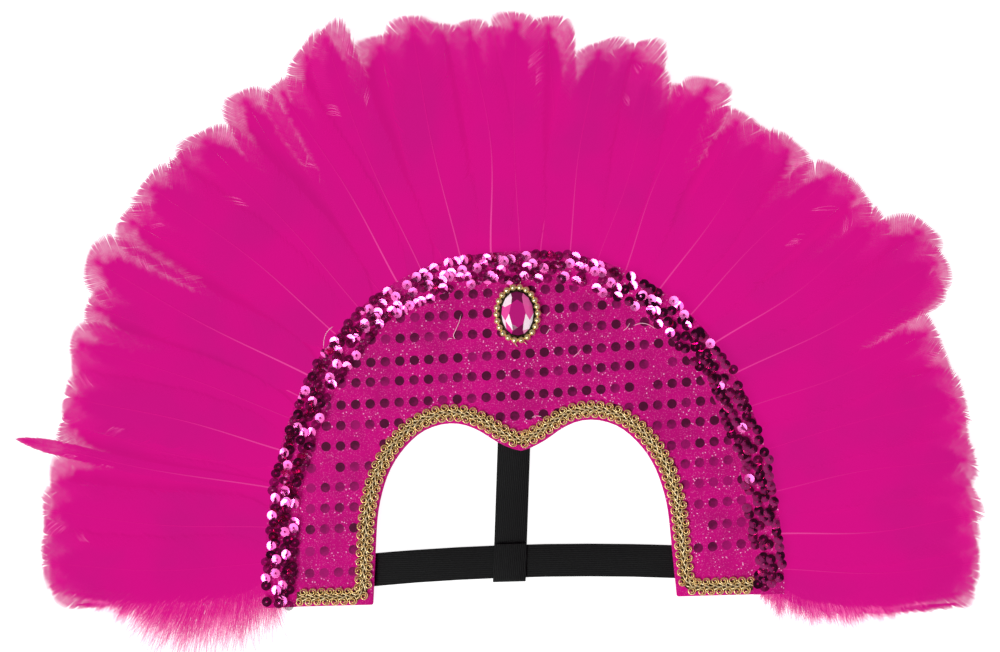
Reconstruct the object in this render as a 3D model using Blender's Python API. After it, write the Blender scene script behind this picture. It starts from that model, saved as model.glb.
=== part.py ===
"""A carnival headdress: a cloth-covered crown panel under a fan of dyed feathers.

It lies face up, as laid out flat. +Z comes out of its front, +Y runs to the top
feathers and +X to its right-hand foot. Lengths are in metres, angles in degrees.
The drawing's own origin is the middle of the line between the two feet; the
empty that carries every piece moves the middle of the model's box to the origin.
"""

import math

import bmesh
import bpy
from mathutils import Matrix, Vector

# The arch: a squared ellipse through the middle of the sequin band
ARCH_HALF_WIDTH = 0.1413
ARCH_HEIGHT = 0.190
ARCH_POWER = 2.3
ARCH_STEPS = 96
FOOT_DROP = 0.0035
TAPE_STEP = 0.011775

# Heights of the layers, from the floor up
CLEARANCE = 0.0003
TAPE_THICKNESS = 0.0013
PANEL_THICKNESS = 0.0030
ELASTIC_THICKNESS = 0.0012

# Crown panel and its double-arched window
PANEL_MARGIN = 0.0082
PANEL_STEP = 0.00785
PANEL_CORNER = 0.0030
PANEL_CORNER_STEPS = 3
WINDOW_CORNER = 0.0010
WINDOW_CORNER_STEPS = 2
WINDOW_HALF_WIDTH = 0.0879
WINDOW_HEIGHT = 0.1037
WINDOW_STEP = 0.0050
WINDOW_STEPS = 6

# Half of the window's edge, from the foot to the point in the middle.
# across: share of the half width, up: share of the height
WINDOW_EDGE = (
    # across, up
    (1.000, 0.000),
    (0.976, 0.280),
    (0.953, 0.504),
    (0.908, 0.660),
    (0.854, 0.767),
    (0.776, 0.861),
    (0.671, 0.944),
    (0.565, 0.986),
    (0.454, 1.000),
    (0.355, 0.986),
    (0.263, 0.950),
    (0.165, 0.894),
    (0.066, 0.852),
    (0.000, 0.836),
)

# Sequin band. crest: share of the half width, the others: shares of the height
BAND_WIDTH = 0.0184
BAND_HEIGHT = 0.0026
SEQUIN_PITCH = 0.0060
BAND_NARROW = 0.92
BAND_CREST = 0.45
BAND_SIDE = 0.45
BAND_DIP = 0.78

# Gold gimp braid, its shares as the band's; the plait runs down its middle
BRAID_WIDTH = 0.0102
BRAID_HEIGHT = 0.0024
BRAID_PITCH = 0.0051
BRAID_INSET = 0.0063
BRAID_FOOT_INSET = 0.0056
BRAID_TURN = 0.0058
BRAID_TURN_STEPS = 6
BRAID_PEAK_SLOPE = 0.3
BRAID_NARROW = 0.82
BRAID_CREST = 0.55
BRAID_SIDE = 0.40
BRAID_DIP = 0.76
BRAID_PLAIT = 0.66

# Jewel, hung a set distance under the top of the arch
GEM_BELOW_ARCH = 0.0273
STONE_WIDTH = 0.0186
STONE_LENGTH = 0.0255
STONE_HEIGHT = 0.0029
STONE_SIDES = 16
STONE_SEAT = 0.90
STONE_GIRDLE = 0.25
STONE_SHOULDER = 0.82
STONE_SHOULDER_UP = 0.70
STONE_TABLE_ACROSS = 0.56
STONE_TABLE_ALONG = 0.60
FACET_ANGLE = 1.0
BEZEL_WALL = 0.0008
BEZEL_HEIGHT = 0.0020
SETTING_BASE = 0.0010
SETTING_SIDES = 20
BEAD_DIAMETER = 0.0035
BEAD_COUNT = 22
BEAD_GAP = 0.0012
BEAD_SIDES = 10
BEAD_RINGS = 5
BEAD_SINK = 0.22
BEAD_PATH_STEPS = 360

# Elastic straps
STRAP_WIDTH = 0.0190
FLAP_LENGTH = 0.0200
BACK_STRAP_UP = 0.0156
BACK_STRAP_BOW = 0.0036
BACK_STRAP_STEPS = 8
STRAP_TUCK = 0.0120
CROWN_STRAP_ANGLE = 3.5
CROWN_STRAP_TOP_SHIFT = -0.0042
STRAP_DROP_START = 0.0020
STRAP_DROP_END = 0.0140
STRAP_FLAT_START = 0.0220
LOOP_STEPS = 8

# Feathers
FEATHER_REACH = 0.140
VANE_WIDTH = 0.038
VANE_THICKNESS = 0.0016
VANE_EDGE = 0.0006
VANE_ROLL_ANGLE = 5.0
DOWN_WIDTH = 0.017
TAPE_INNER = -0.0040
TAPE_OUTER = 0.0060
QUILL_START = -0.0025
REAR_RISE = 0.0060
FRONT_RISE = 0.0120

# One vane from root to tip. along: share of its length, width: share of its own
# width, thick: share of its thickness, rise: share of its row's rise, roll: share
# of the shingle angle, down: share of the downy skirt under the lowest feathers
VANE_SECTIONS = (
    # along, width, thick, rise, roll, down
    (0.00, 0.16, 0.45, 0.00, 0.00, 0.00),
    (0.10, 0.38, 0.55, 0.03, 0.10, 1.10),
    (0.30, 0.82, 0.90, 0.42, 0.85, 1.00),
    (0.62, 1.00, 1.00, 0.95, 1.00, 0.25),
    (0.90, 0.97, 0.85, 0.90, 1.00, 0.00),
    (1.00, 0.62, 0.55, 0.66, 1.00, 0.00),
)

# Finish of each piece. rough: roughness, metal: metallic share
FINISHES = {
    # name: colour, rough, metal
    "feather_pink": ((0.716, 0.005, 0.242), 0.75, 0.0),
    "spotted_cloth": ((0.578, 0.007, 0.223), 0.55, 0.0),
    "sequin_pink": ((0.510, 0.010, 0.180), 0.25, 0.6),
    "gold_thread": ((0.578, 0.376, 0.080), 0.40, 0.8),
    "gold_metal": ((0.680, 0.480, 0.150), 0.30, 1.0),
    "pink_stone": ((0.600, 0.010, 0.250), 0.08, 0.0),
    "black_elastic": ((0.010, 0.011, 0.012), 0.80, 0.0),
}
SMOOTH_ANGLE = 35.0
WELD = 0.000001

# Every feather in turn round the arch, the rear and the front row by turns.
# place: share of the arch from the left foot, reach: share of FEATHER_REACH,
# lean: degrees towards the right-hand foot, width: share of VANE_WIDTH
FEATHERS = (
    # place, reach, lean, width
    (0.030, 0.95, -2.0, 0.88),
    (0.047, 0.97, -1.0, 0.90),
    (0.065, 0.97, 0.0, 0.90),
    (0.084, 0.96, 0.0, 0.90),
    (0.104, 0.95, 0.0, 0.90),
    (0.124, 1.10, 3.0, 0.70),
    (0.146, 0.92, 0.0, 0.90),
    (0.164, 0.98, 0.0, 0.80),
    (0.182, 0.96, 0.0, 0.80),
    (0.198, 0.99, 0.0, 0.70),
    (0.222, 1.00, 0.0, 0.80),
    (0.246, 1.05, 0.0, 0.90),
    (0.274, 1.04, 0.0, 0.80),
    (0.295, 1.07, 0.0, 0.95),
    (0.314, 0.99, 0.0, 0.80),
    (0.330, 1.05, 0.0, 0.90),
    (0.357, 1.06, 0.0, 0.75),
    (0.376, 1.02, -1.0, 0.65),
    (0.393, 1.11, 0.0, 0.90),
    (0.408, 1.16, 0.0, 0.65),
    (0.426, 1.00, 0.0, 0.95),
    (0.444, 1.03, 0.0, 0.80),
    (0.459, 1.01, 0.0, 0.90),
    (0.474, 1.03, 0.0, 0.62),
    (0.491, 1.00, 0.0, 0.68),
    (0.505, 1.05, 0.0, 0.85),
    (0.525, 1.04, 0.0, 0.85),
    (0.556, 0.92, -1.0, 0.85),
    (0.572, 0.95, 0.0, 0.95),
    (0.583, 0.95, 0.0, 0.62),
    (0.602, 0.86, 0.0, 0.75),
    (0.614, 0.97, -2.0, 0.85),
    (0.635, 0.87, 0.0, 0.85),
    (0.651, 0.87, 0.0, 0.80),
    (0.666, 0.90, 0.0, 0.85),
    (0.692, 0.92, 0.0, 0.80),
    (0.709, 0.94, 0.0, 0.90),
    (0.728, 0.93, 0.0, 0.72),
    (0.749, 1.04, -1.0, 0.85),
    (0.765, 1.05, 0.0, 0.90),
    (0.775, 1.04, 0.0, 0.72),
    (0.802, 0.86, 0.0, 0.75),
    (0.829, 0.90, 0.0, 0.90),
    (0.850, 0.91, 0.0, 0.90),
    (0.872, 0.90, 0.0, 0.90),
    (0.894, 0.90, 0.0, 0.90),
    (0.916, 0.88, 0.0, 0.90),
    (0.937, 0.87, 0.0, 0.90),
    (0.956, 0.87, 0.0, 0.90),
    (0.974, 0.87, 1.0, 0.90),
    (0.986, 0.86, 2.0, 0.90),
)

# Places that the sizes above settle
REAR_TAPE_Z = 0.0
FRONT_TAPE_Z = REAR_TAPE_Z + TAPE_THICKNESS + CLEARANCE
PANEL_Z = FRONT_TAPE_Z + TAPE_THICKNESS + CLEARANCE
TRIM_Z = PANEL_Z + PANEL_THICKNESS + CLEARANCE
BACK_STRAP_Z = ELASTIC_THICKNESS + CLEARANCE
FLAP_Z = BACK_STRAP_Z + ELASTIC_THICKNESS + CLEARANCE
STRAP_TOP_Z = PANEL_Z - CLEARANCE - ELASTIC_THICKNESS
FOOT_Y = -FOOT_DROP
GEM_UP = ARCH_HEIGHT - GEM_BELOW_ARCH
WINDOW_PEAK_Y = FOOT_Y + WINDOW_HEIGHT * WINDOW_EDGE[-1][1]


def measured(points):
    """The distance of each point along an open path."""
    marks = [0.0]
    for a, b in zip(points, points[1:]):
        marks.append(marks[-1] + (b - a).length)
    return marks


def place_on(points, distance):
    """The point at a distance along a path, and the way to its left there."""
    marks = measured(points)
    distance = min(max(distance, 0.0), marks[-1])
    last = len(points) - 2
    leg = next((k for k in range(last) if marks[k + 1] >= distance), last)
    share = (distance - marks[leg]) / (marks[leg + 1] - marks[leg])
    point = points[leg].lerp(points[leg + 1], share)
    before = points[max(leg - 1, 0)]
    after = points[min(leg + 2, len(points) - 1)]
    run = (after - before).normalized()
    return point, Vector((-run.y, run.x))


def spaced(points, step):
    """Stations at an even step along a path, each a point and its left-hand way."""
    total = measured(points)[-1]
    count = max(2, round(total / step))
    return [place_on(points, total * k / count) for k in range(count + 1)]


def smooth_through(points, parts):
    """A Catmull-Rom curve through the points, with so many parts a leg."""
    padded = [points[0] * 2 - points[1]] + points + [points[-1] * 2 - points[-2]]
    curve = []
    for a, b, c, d in zip(padded, padded[1:], padded[2:], padded[3:]):
        for k in range(parts):
            t = k / parts
            curve.append(
                0.5 * (2 * b + (c - a) * t + (2 * a - 5 * b + 4 * c - d) * t**2
                       + (3 * b - a - 3 * c + d) * t**3)
            )
    return curve + [points[-1]]


def rounded(before, corner, after, radius, parts):
    """Points of the arc that rounds a corner between two neighbouring points."""
    towards = (before - corner).normalized()
    away = (after - corner).normalized()
    half = towards.angle(away) / 2
    start = corner + towards * radius / math.tan(half)
    end = corner + away * radius / math.tan(half)
    centre = corner + (towards + away).normalized() * radius / math.sin(half)
    arc = []
    for k in range(parts + 1):
        ray = (start - centre).lerp(end - centre, k / parts).normalized()
        arc.append(centre + ray * radius)
    return arc


def arch_line():
    """The arch from the left foot's bottom over the top to the right foot's."""
    points = [Vector((-ARCH_HALF_WIDTH, FOOT_Y))]
    for k in range(ARCH_STEPS + 1):
        angle = math.pi * (1 - k / ARCH_STEPS)
        across, up = math.cos(angle), math.sin(angle)
        points.append(
            Vector((
                math.copysign(ARCH_HALF_WIDTH * abs(across) ** (2 / ARCH_POWER), across),
                ARCH_HEIGHT * max(up, 0.0) ** (2 / ARCH_POWER),
            ))
        )
    return points + [Vector((ARCH_HALF_WIDTH, FOOT_Y))]


def window_line():
    """The right half of the window's edge, from the foot to the middle point."""
    corners = [
        Vector((WINDOW_HALF_WIDTH * across, FOOT_Y + WINDOW_HEIGHT * up))
        for across, up in WINDOW_EDGE
    ]
    return [point for point, _ in spaced(smooth_through(corners, WINDOW_STEPS), WINDOW_STEP)]


def mirrored(points):
    """The same points on the other side of the middle line."""
    return [Vector((-point.x, point.y)) for point in points]


def material(name):
    """A plain Principled material from the table of finishes."""
    colour, roughness, metallic = FINISHES[name]
    made = bpy.data.materials.new(name)
    made.use_nodes = True
    shader = made.node_tree.nodes["Principled BSDF"]
    shader.inputs["Base Color"].default_value = (*colour, 1.0)
    shader.inputs["Roughness"].default_value = roughness
    shader.inputs["Metallic"].default_value = metallic
    return made


def add_piece(name, mesh, finish, carrier, group):
    """A named object for a mesh, carried by the headdress's empty."""
    piece = bpy.data.objects.new(name, mesh)
    mesh.materials.clear()
    mesh.materials.append(finish)
    group.objects.link(piece)
    piece.parent = carrier
    return piece


def plate_mesh(name, outline, bottom, thickness):
    """A flat plate with the given closed outline, welded into one body."""
    flat = bpy.data.curves.new(name, "CURVE")
    flat.dimensions = "2D"
    flat.fill_mode = "BOTH"
    flat.extrude = thickness / 2
    spline = flat.splines.new("POLY")
    spline.points.add(len(outline) - 1)
    for target, point in zip(spline.points, outline):
        target.co = (point.x, point.y, 0.0, 1.0)
    spline.use_cyclic_u = True
    holder = bpy.data.objects.new(name, flat)
    bpy.context.scene.collection.objects.link(holder)
    evaluated = holder.evaluated_get(bpy.context.evaluated_depsgraph_get())
    mesh = bpy.data.meshes.new_from_object(evaluated)
    mesh.transform(Matrix.Translation((0.0, 0.0, bottom + thickness / 2)))
    bpy.data.objects.remove(holder)
    bm = bmesh.new()
    bm.from_mesh(mesh)
    bmesh.ops.remove_doubles(bm, verts=bm.verts, dist=WELD)
    bmesh.ops.recalc_face_normals(bm, faces=bm.faces)
    bm.to_mesh(mesh)
    bm.free()
    return mesh


def add_loft(bm, rings):
    """A closed skin through rings of points, capped at both ends."""
    rows = [[bm.verts.new(point) for point in ring] for ring in rings]
    count = len(rows[0])
    for near, far in zip(rows, rows[1:]):
        for k in range(count):
            after = (k + 1) % count
            bm.faces.new((near[k], near[after], far[after], far[k]))
    bm.faces.new(reversed(rows[0]))
    bm.faces.new(rows[-1])


def lofted_mesh(name, lofts):
    """One mesh of one or more closed lofts."""
    bm = bmesh.new()
    for rings in lofts:
        add_loft(bm, rings)
    bmesh.ops.recalc_face_normals(bm, faces=bm.faces)
    mesh = bpy.data.meshes.new(name)
    bm.to_mesh(mesh)
    bm.free()
    return mesh


def strip_rings(stations, section_at, bottom):
    """Rings of a trim strip laid along stations, from its section at each one."""
    rings = []
    for index, (point, left) in enumerate(stations):
        ring = []
        for across, up in section_at(index):
            spot = point - left * across
            ring.append(Vector((spot.x, spot.y, bottom + up)))
        rings.append(ring)
    return rings


def panel_mesh():
    """The crown panel: the arch's outline with the double-arched window cut up it."""
    outer = [
        point + left * PANEL_MARGIN
        for point, left in spaced(arch_line(), PANEL_STEP)
    ]
    window = window_line()
    foot_outside = outer[-1]
    foot_inside = window[0]
    outside_corner = rounded(
        outer[-2], foot_outside, foot_inside, PANEL_CORNER, PANEL_CORNER_STEPS
    )
    inside_corner = rounded(
        foot_outside, foot_inside, window[1], WINDOW_CORNER, WINDOW_CORNER_STEPS
    )
    right_edge = outside_corner + inside_corner + window[1:]
    left_edge = [point for point in reversed(mirrored(right_edge))][1:]
    outline = outer[1:-1] + right_edge + left_edge
    return plate_mesh("crown_panel", outline, PANEL_Z, PANEL_THICKNESS)


def band_section(index):
    """The sequin band's section: overlapped rows, each high where its neighbour is low."""
    half = BAND_WIDTH / 2
    even = index % 2 == 0
    left_half = half * (1.0 if even else BAND_NARROW)
    right_half = half * (BAND_NARROW if even else 1.0)
    low, high = BAND_HEIGHT * BAND_DIP, BAND_HEIGHT
    return (
        (-left_half, 0.0),
        (right_half, 0.0),
        (right_half, BAND_HEIGHT * BAND_SIDE),
        (half * BAND_CREST, low if even else high),
        (-half * BAND_CREST, high if even else low),
        (-left_half, BAND_HEIGHT * BAND_SIDE),
    )


def braid_section(index):
    """The gimp's section: two rows of coils, half a coil apart, and a plaited middle."""
    half = BRAID_WIDTH / 2
    even = index % 2 == 0
    left_half = half * (1.0 if even else BRAID_NARROW)
    right_half = half * (BRAID_NARROW if even else 1.0)
    low, high = BRAID_HEIGHT * BRAID_DIP, BRAID_HEIGHT
    return (
        (-left_half, 0.0),
        (right_half, 0.0),
        (right_half, BRAID_HEIGHT * BRAID_SIDE),
        (half * BRAID_CREST, low if even else high),
        (0.0, BRAID_HEIGHT * BRAID_PLAIT),
        (-half * BRAID_CREST, high if even else low),
        (-left_half, BRAID_HEIGHT * BRAID_SIDE),
    )


def braid_line():
    """The braid's middle line: along a foot, up round the window and out again."""
    window = window_line()
    inset = []
    for index, point in enumerate(window):
        before = window[max(index - 1, 0)]
        after = window[min(index + 1, len(window) - 1)]
        run = (after - before).normalized()
        spot = point + Vector((run.y, -run.x)) * BRAID_INSET
        if spot.x > 0.0 and spot.y > FOOT_Y + BRAID_FOOT_INSET + BRAID_TURN:
            inset.append(spot)
    middle = Vector((0.0, inset[-1].y - inset[-1].x * BRAID_PEAK_SLOPE))
    corner = Vector((inset[0].x, FOOT_Y + BRAID_FOOT_INSET))
    foot_end = Vector((ARCH_HALF_WIDTH - BAND_WIDTH / 2 - CLEARANCE, corner.y))
    turn = rounded(inset[0], corner, foot_end, BRAID_TURN, BRAID_TURN_STEPS)
    right_half = [middle] + list(reversed(inset)) + turn + [foot_end]
    left_half = list(reversed(mirrored(right_half[1:])))
    return left_half + right_half


def oval_ring(width, length, height, sides, turn=0.0):
    """A ring of points round an oval at the jewel's place."""
    return [
        Vector((
            width / 2 * math.cos(2 * math.pi * (k + turn) / sides),
            GEM_UP + length / 2 * math.sin(2 * math.pi * (k + turn) / sides),
            TRIM_Z + height,
        ))
        for k in range(sides)
    ]


def setting_mesh():
    """The jewel's cup: a thin oval base with the bezel wall standing on it."""
    room = 2 * CLEARANCE
    inside = (STONE_WIDTH + room, STONE_LENGTH + room)
    outside = (inside[0] + 2 * BEZEL_WALL, inside[1] + 2 * BEZEL_WALL)
    rim = (outside[0] + BEAD_DIAMETER, outside[1] + BEAD_DIAMETER)
    top = SETTING_BASE + BEZEL_HEIGHT
    rings = [
        oval_ring(*rim, 0.0, SETTING_SIDES),
        oval_ring(*rim, SETTING_BASE, SETTING_SIDES),
        oval_ring(*outside, SETTING_BASE + CLEARANCE / 3, SETTING_SIDES),
        oval_ring(*outside, top, SETTING_SIDES),
        oval_ring(*inside, top, SETTING_SIDES),
        oval_ring(*inside, SETTING_BASE, SETTING_SIDES),
    ]
    return lofted_mesh("gem_setting", [rings])


def bead_ring_mesh():
    """The round beads that stand on the setting's base, side by side."""
    bm = bmesh.new()
    width = STONE_WIDTH + 2 * (CLEARANCE + BEZEL_WALL) + BEAD_DIAMETER + BEAD_GAP
    length = STONE_LENGTH + 2 * (CLEARANCE + BEZEL_WALL) + BEAD_DIAMETER + BEAD_GAP
    height = TRIM_Z + SETTING_BASE + BEAD_DIAMETER * BEAD_SINK
    oval = [
        Vector((
            width / 2 * math.cos(2 * math.pi * k / BEAD_PATH_STEPS),
            GEM_UP + length / 2 * math.sin(2 * math.pi * k / BEAD_PATH_STEPS),
        ))
        for k in range(BEAD_PATH_STEPS + 1)
    ]
    total = measured(oval)[-1]
    for index in range(BEAD_COUNT):
        point, _ = place_on(oval, total * index / BEAD_COUNT)
        bmesh.ops.create_uvsphere(
            bm,
            u_segments=BEAD_SIDES,
            v_segments=BEAD_RINGS,
            radius=BEAD_DIAMETER / 2,
            matrix=Matrix.Translation((point.x, point.y, height)),
        )
    mesh = bpy.data.meshes.new("gem_beads")
    bm.to_mesh(mesh)
    bm.free()
    return mesh


def stone_mesh():
    """The cut stone: girdle, a row of kite facets and a flat table."""
    seat = SETTING_BASE + CLEARANCE
    girdle = STONE_HEIGHT * STONE_GIRDLE
    rings = (
        oval_ring(STONE_WIDTH * STONE_SEAT, STONE_LENGTH * STONE_SEAT, seat, STONE_SIDES),
        oval_ring(STONE_WIDTH, STONE_LENGTH, seat + girdle, STONE_SIDES),
        oval_ring(
            STONE_WIDTH * STONE_SHOULDER, STONE_LENGTH * STONE_SHOULDER,
            seat + STONE_HEIGHT * STONE_SHOULDER_UP, STONE_SIDES // 2, 0.5,
        ),
        oval_ring(
            STONE_WIDTH * STONE_TABLE_ACROSS, STONE_LENGTH * STONE_TABLE_ALONG,
            seat + STONE_HEIGHT, STONE_SIDES // 2,
        ),
    )
    bm = bmesh.new()
    for ring in rings:
        for point in ring:
            bm.verts.new(point)
    bmesh.ops.convex_hull(bm, input=bm.verts)
    bmesh.ops.dissolve_limit(
        bm, angle_limit=math.radians(FACET_ANGLE), verts=bm.verts, edges=bm.edges
    )
    mesh = bpy.data.meshes.new("gem_stone")
    bm.to_mesh(mesh)
    bm.free()
    return mesh


def back_strap_mesh():
    """The elastic across the back, bowed up a little and tucked behind both legs."""
    reach = WINDOW_HALF_WIDTH + STRAP_TUCK
    middle = []
    for k in range(-BACK_STRAP_STEPS, BACK_STRAP_STEPS + 1):
        share = k / BACK_STRAP_STEPS
        middle.append(
            Vector((reach * share, BACK_STRAP_UP + BACK_STRAP_BOW * (1 - share**2)))
        )
    upper = [point + Vector((0.0, STRAP_WIDTH / 2)) for point in middle]
    lower = [point - Vector((0.0, STRAP_WIDTH / 2)) for point in reversed(middle)]
    return plate_mesh("back_strap", upper + lower, BACK_STRAP_Z, ELASTIC_THICKNESS)


def crown_strap_mesh():
    """The elastic from the window's point, looped round the back strap and sewn."""
    strap_middle = BACK_STRAP_UP + BACK_STRAP_BOW
    loop_bottom = strap_middle - STRAP_WIDTH / 2 - CLEARANCE
    loop_radius = FLAP_Z / 2
    half = ELASTIC_THICKNESS / 2
    top = WINDOW_PEAK_Y + STRAP_TUCK
    route = [
        Vector((top, STRAP_TOP_Z + half)),
        Vector((WINDOW_PEAK_Y - STRAP_DROP_START, STRAP_TOP_Z + half)),
        Vector((WINDOW_PEAK_Y - STRAP_DROP_END, half + CLEARANCE)),
        Vector((WINDOW_PEAK_Y - STRAP_FLAT_START, half)),
        Vector((loop_bottom, half)),
    ]
    for k in range(1, LOOP_STEPS):
        angle = math.pi * k / LOOP_STEPS
        route.append(
            Vector((
                loop_bottom - loop_radius * math.sin(angle),
                half + loop_radius * (1 - math.cos(angle)),
            ))
        )
    route.append(Vector((loop_bottom, FLAP_Z + half)))
    route.append(Vector((loop_bottom + FLAP_LENGTH, FLAP_Z + half)))
    rings = []
    for index, spot in enumerate(route):
        before = route[max(index - 1, 0)]
        after = route[min(index + 1, len(route) - 1)]
        run = (after - before).normalized()
        rise = Vector((-run.y, run.x)) * half
        drift = math.tan(math.radians(CROWN_STRAP_ANGLE)) * (WINDOW_PEAK_Y - spot.x)
        centre = CROWN_STRAP_TOP_SHIFT - drift
        ring = []
        for side, face in ((-1, 1), (1, 1), (1, -1), (-1, -1)):
            edge = spot + rise * face
            ring.append(Vector((centre + side * STRAP_WIDTH / 2, edge.x, edge.y)))
        rings.append(ring)
    return lofted_mesh("crown_strap", [rings])


def tape_mesh(name, bottom):
    """The curved tape that a row of quills is sewn to, behind the panel's edge."""
    stations = spaced(arch_line(), TAPE_STEP)
    outer = [point + left * TAPE_OUTER for point, left in stations]
    inner = [point + left * TAPE_INNER for point, left in reversed(stations)]
    return plate_mesh(name, outer + inner, bottom, TAPE_THICKNESS)


def vane_rings(feather, root_height, row_rise, skirt_side):
    """The sections of one feather, from its quill in the tape out to its tip."""
    place, reach, lean, width = feather
    arch = arch_line()
    point, out = place_on(arch, measured(arch)[-1] * place)
    turned = Matrix.Rotation(math.radians(-lean), 2)
    way = turned @ out
    side = Vector((way.y, -way.x))
    root = point + out * QUILL_START
    length = FEATHER_REACH * reach - QUILL_START
    rings = []
    for along, wide, thick, rise, roll, down in VANE_SECTIONS:
        centre = root + way * (length * along)
        height = root_height + row_rise * rise
        half = VANE_WIDTH * width * wide / 2
        left_half = half + (DOWN_WIDTH * down if skirt_side < 0 else 0.0)
        right_half = half + (DOWN_WIDTH * down if skirt_side > 0 else 0.0)
        ridge = VANE_THICKNESS * thick / 2
        edge = VANE_EDGE / 2
        slope = math.tan(math.radians(VANE_ROLL_ANGLE * roll))
        ring = []
        for across, up in (
            (-left_half, -edge), (0.0, -ridge), (right_half, -edge),
            (right_half, edge), (0.0, ridge), (-left_half, edge),
        ):
            spot = centre + side * across
            ring.append(Vector((spot.x, spot.y, height + across * slope + up)))
        rings.append(ring)
    return rings


def row_mesh(name, feathers, root_height, row_rise):
    """Every vane of one row, the lowest two with their downy skirts."""
    lofts = []
    for index, feather in enumerate(feathers):
        skirt = 0
        if index == 0:
            skirt = -1
        elif index == len(feathers) - 1:
            skirt = 1
        lofts.append(vane_rings(feather, root_height, row_rise, skirt))
    return lofted_mesh(name, lofts)


def join(base, tool, tools_group):
    """Fuse a hidden tool object into a piece."""
    tools_group.objects.link(tool)
    tool.parent = base.parent
    tool.hide_render = True
    tool.display_type = "WIRE"
    union = base.modifiers.new("fuse", "BOOLEAN")
    union.operation = "UNION"
    union.solver = "EXACT"
    union.object = tool


def smooth_piece(piece, angle):
    """Shade a piece smooth, sharp only at its folds."""
    piece.data.shade_smooth()
    piece.data.set_sharp_from_angle(angle=math.radians(angle))


def seat_on_floor(carrier, pieces):
    """Move the carrier so that the model's box stands centred on the origin."""
    bpy.context.view_layer.update()
    graph = bpy.context.evaluated_depsgraph_get()
    corners = []
    for piece in pieces:
        shape = piece.evaluated_get(graph)
        mesh = shape.to_mesh()
        corners += [shape.matrix_world @ vertex.co for vertex in mesh.vertices]
        shape.to_mesh_clear()
    low = [min(corner[axis] for corner in corners) for axis in range(3)]
    high = [max(corner[axis] for corner in corners) for axis in range(3)]
    carrier.location = (-(low[0] + high[0]) / 2, -(low[1] + high[1]) / 2, -low[2])


def build():
    for leftover in list(bpy.data.objects):
        bpy.data.objects.remove(leftover)
    group = bpy.data.collections.new("feather_headdress")
    tools = bpy.data.collections.new("fused_shapes")
    bpy.context.scene.collection.children.link(group)
    bpy.context.scene.collection.children.link(tools)
    carrier = bpy.data.objects.new("headdress", None)
    group.objects.link(carrier)

    finishes = {name: material(name) for name in FINISHES}

    def add(name, mesh, finish):
        return add_piece(name, mesh, finishes[finish], carrier, group)

    band = lofted_mesh(
        "sequin_band",
        [strip_rings(spaced(arch_line(), SEQUIN_PITCH / 2), band_section, TRIM_Z)],
    )
    braid = lofted_mesh(
        "gold_braid",
        [strip_rings(spaced(braid_line(), BRAID_PITCH / 2), braid_section, TRIM_Z)],
    )
    pieces = [
        add("crown_panel", panel_mesh(), "spotted_cloth"),
        add("sequin_band", band, "sequin_pink"),
        add("gold_braid", braid, "gold_thread"),
        add("gem_stone", stone_mesh(), "pink_stone"),
        add("back_strap", back_strap_mesh(), "black_elastic"),
        add("crown_strap", crown_strap_mesh(), "black_elastic"),
    ]

    setting = add("gem_setting", setting_mesh(), "gold_metal")
    join(setting, bpy.data.objects.new("gem_beads", bead_ring_mesh()), tools)
    pieces.append(setting)

    rows = (
        ("feather_fan_rear", FEATHERS[0::2], REAR_TAPE_Z, REAR_RISE),
        ("feather_fan_front", FEATHERS[1::2], FRONT_TAPE_Z, FRONT_RISE),
    )
    for name, feathers, bottom, rise in rows:
        fan = add(name, tape_mesh(name, bottom), "feather_pink")
        vanes = row_mesh(name + "_vanes", feathers, bottom + TAPE_THICKNESS / 2, rise)
        join(fan, bpy.data.objects.new(name + "_vanes", vanes), tools)
        pieces.append(fan)

    for piece in pieces:
        if piece.name != "gem_stone":
            smooth_piece(piece, SMOOTH_ANGLE)
    seat_on_floor(carrier, pieces)


build()
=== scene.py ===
"""The looks of a carnival feather headdress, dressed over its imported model.

Sizes are in metres. A place on the drawing is measured from the middle of the
line between the two feet, as in the part's own source; spot() turns it into a
place in the frame.
"""

import math
import random

import bmesh
import bpy
import numpy as np
from mathutils import Matrix, Vector


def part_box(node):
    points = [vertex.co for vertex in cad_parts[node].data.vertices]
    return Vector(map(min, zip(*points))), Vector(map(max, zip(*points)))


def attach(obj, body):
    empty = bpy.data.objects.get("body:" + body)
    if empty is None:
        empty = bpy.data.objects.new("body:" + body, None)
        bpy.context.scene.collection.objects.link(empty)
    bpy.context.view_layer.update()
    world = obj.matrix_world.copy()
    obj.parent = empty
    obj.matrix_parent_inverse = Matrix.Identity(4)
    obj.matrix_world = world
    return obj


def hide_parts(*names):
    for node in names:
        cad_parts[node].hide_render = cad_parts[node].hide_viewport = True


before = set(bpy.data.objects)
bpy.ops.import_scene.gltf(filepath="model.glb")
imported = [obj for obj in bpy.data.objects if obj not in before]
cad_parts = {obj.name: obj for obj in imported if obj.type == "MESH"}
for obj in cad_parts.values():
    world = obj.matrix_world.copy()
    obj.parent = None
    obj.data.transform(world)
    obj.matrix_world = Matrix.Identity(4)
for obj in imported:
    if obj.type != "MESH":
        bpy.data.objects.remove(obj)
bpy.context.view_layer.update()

# The drawing's sizes, as in the part's source
FOOT_DROP = 0.0035
ARCH_HALF_WIDTH = 0.1413
ARCH_HEIGHT = 0.190
ARCH_POWER = 2.3
BAND_WIDTH = 0.0184
WINDOW_HALF_WIDTH = 0.0879
WINDOW_HEIGHT = 0.1037

# Half of the window's edge, from the foot to the point in the middle
WINDOW_EDGE = (
    # across, up
    (1.000, 0.000), (0.976, 0.280), (0.953, 0.504), (0.908, 0.660),
    (0.854, 0.767), (0.776, 0.861), (0.671, 0.944), (0.565, 0.986),
    (0.454, 1.000), (0.355, 0.986), (0.263, 0.950), (0.165, 0.894),
    (0.066, 0.852), (0.000, 0.836),
)

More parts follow.
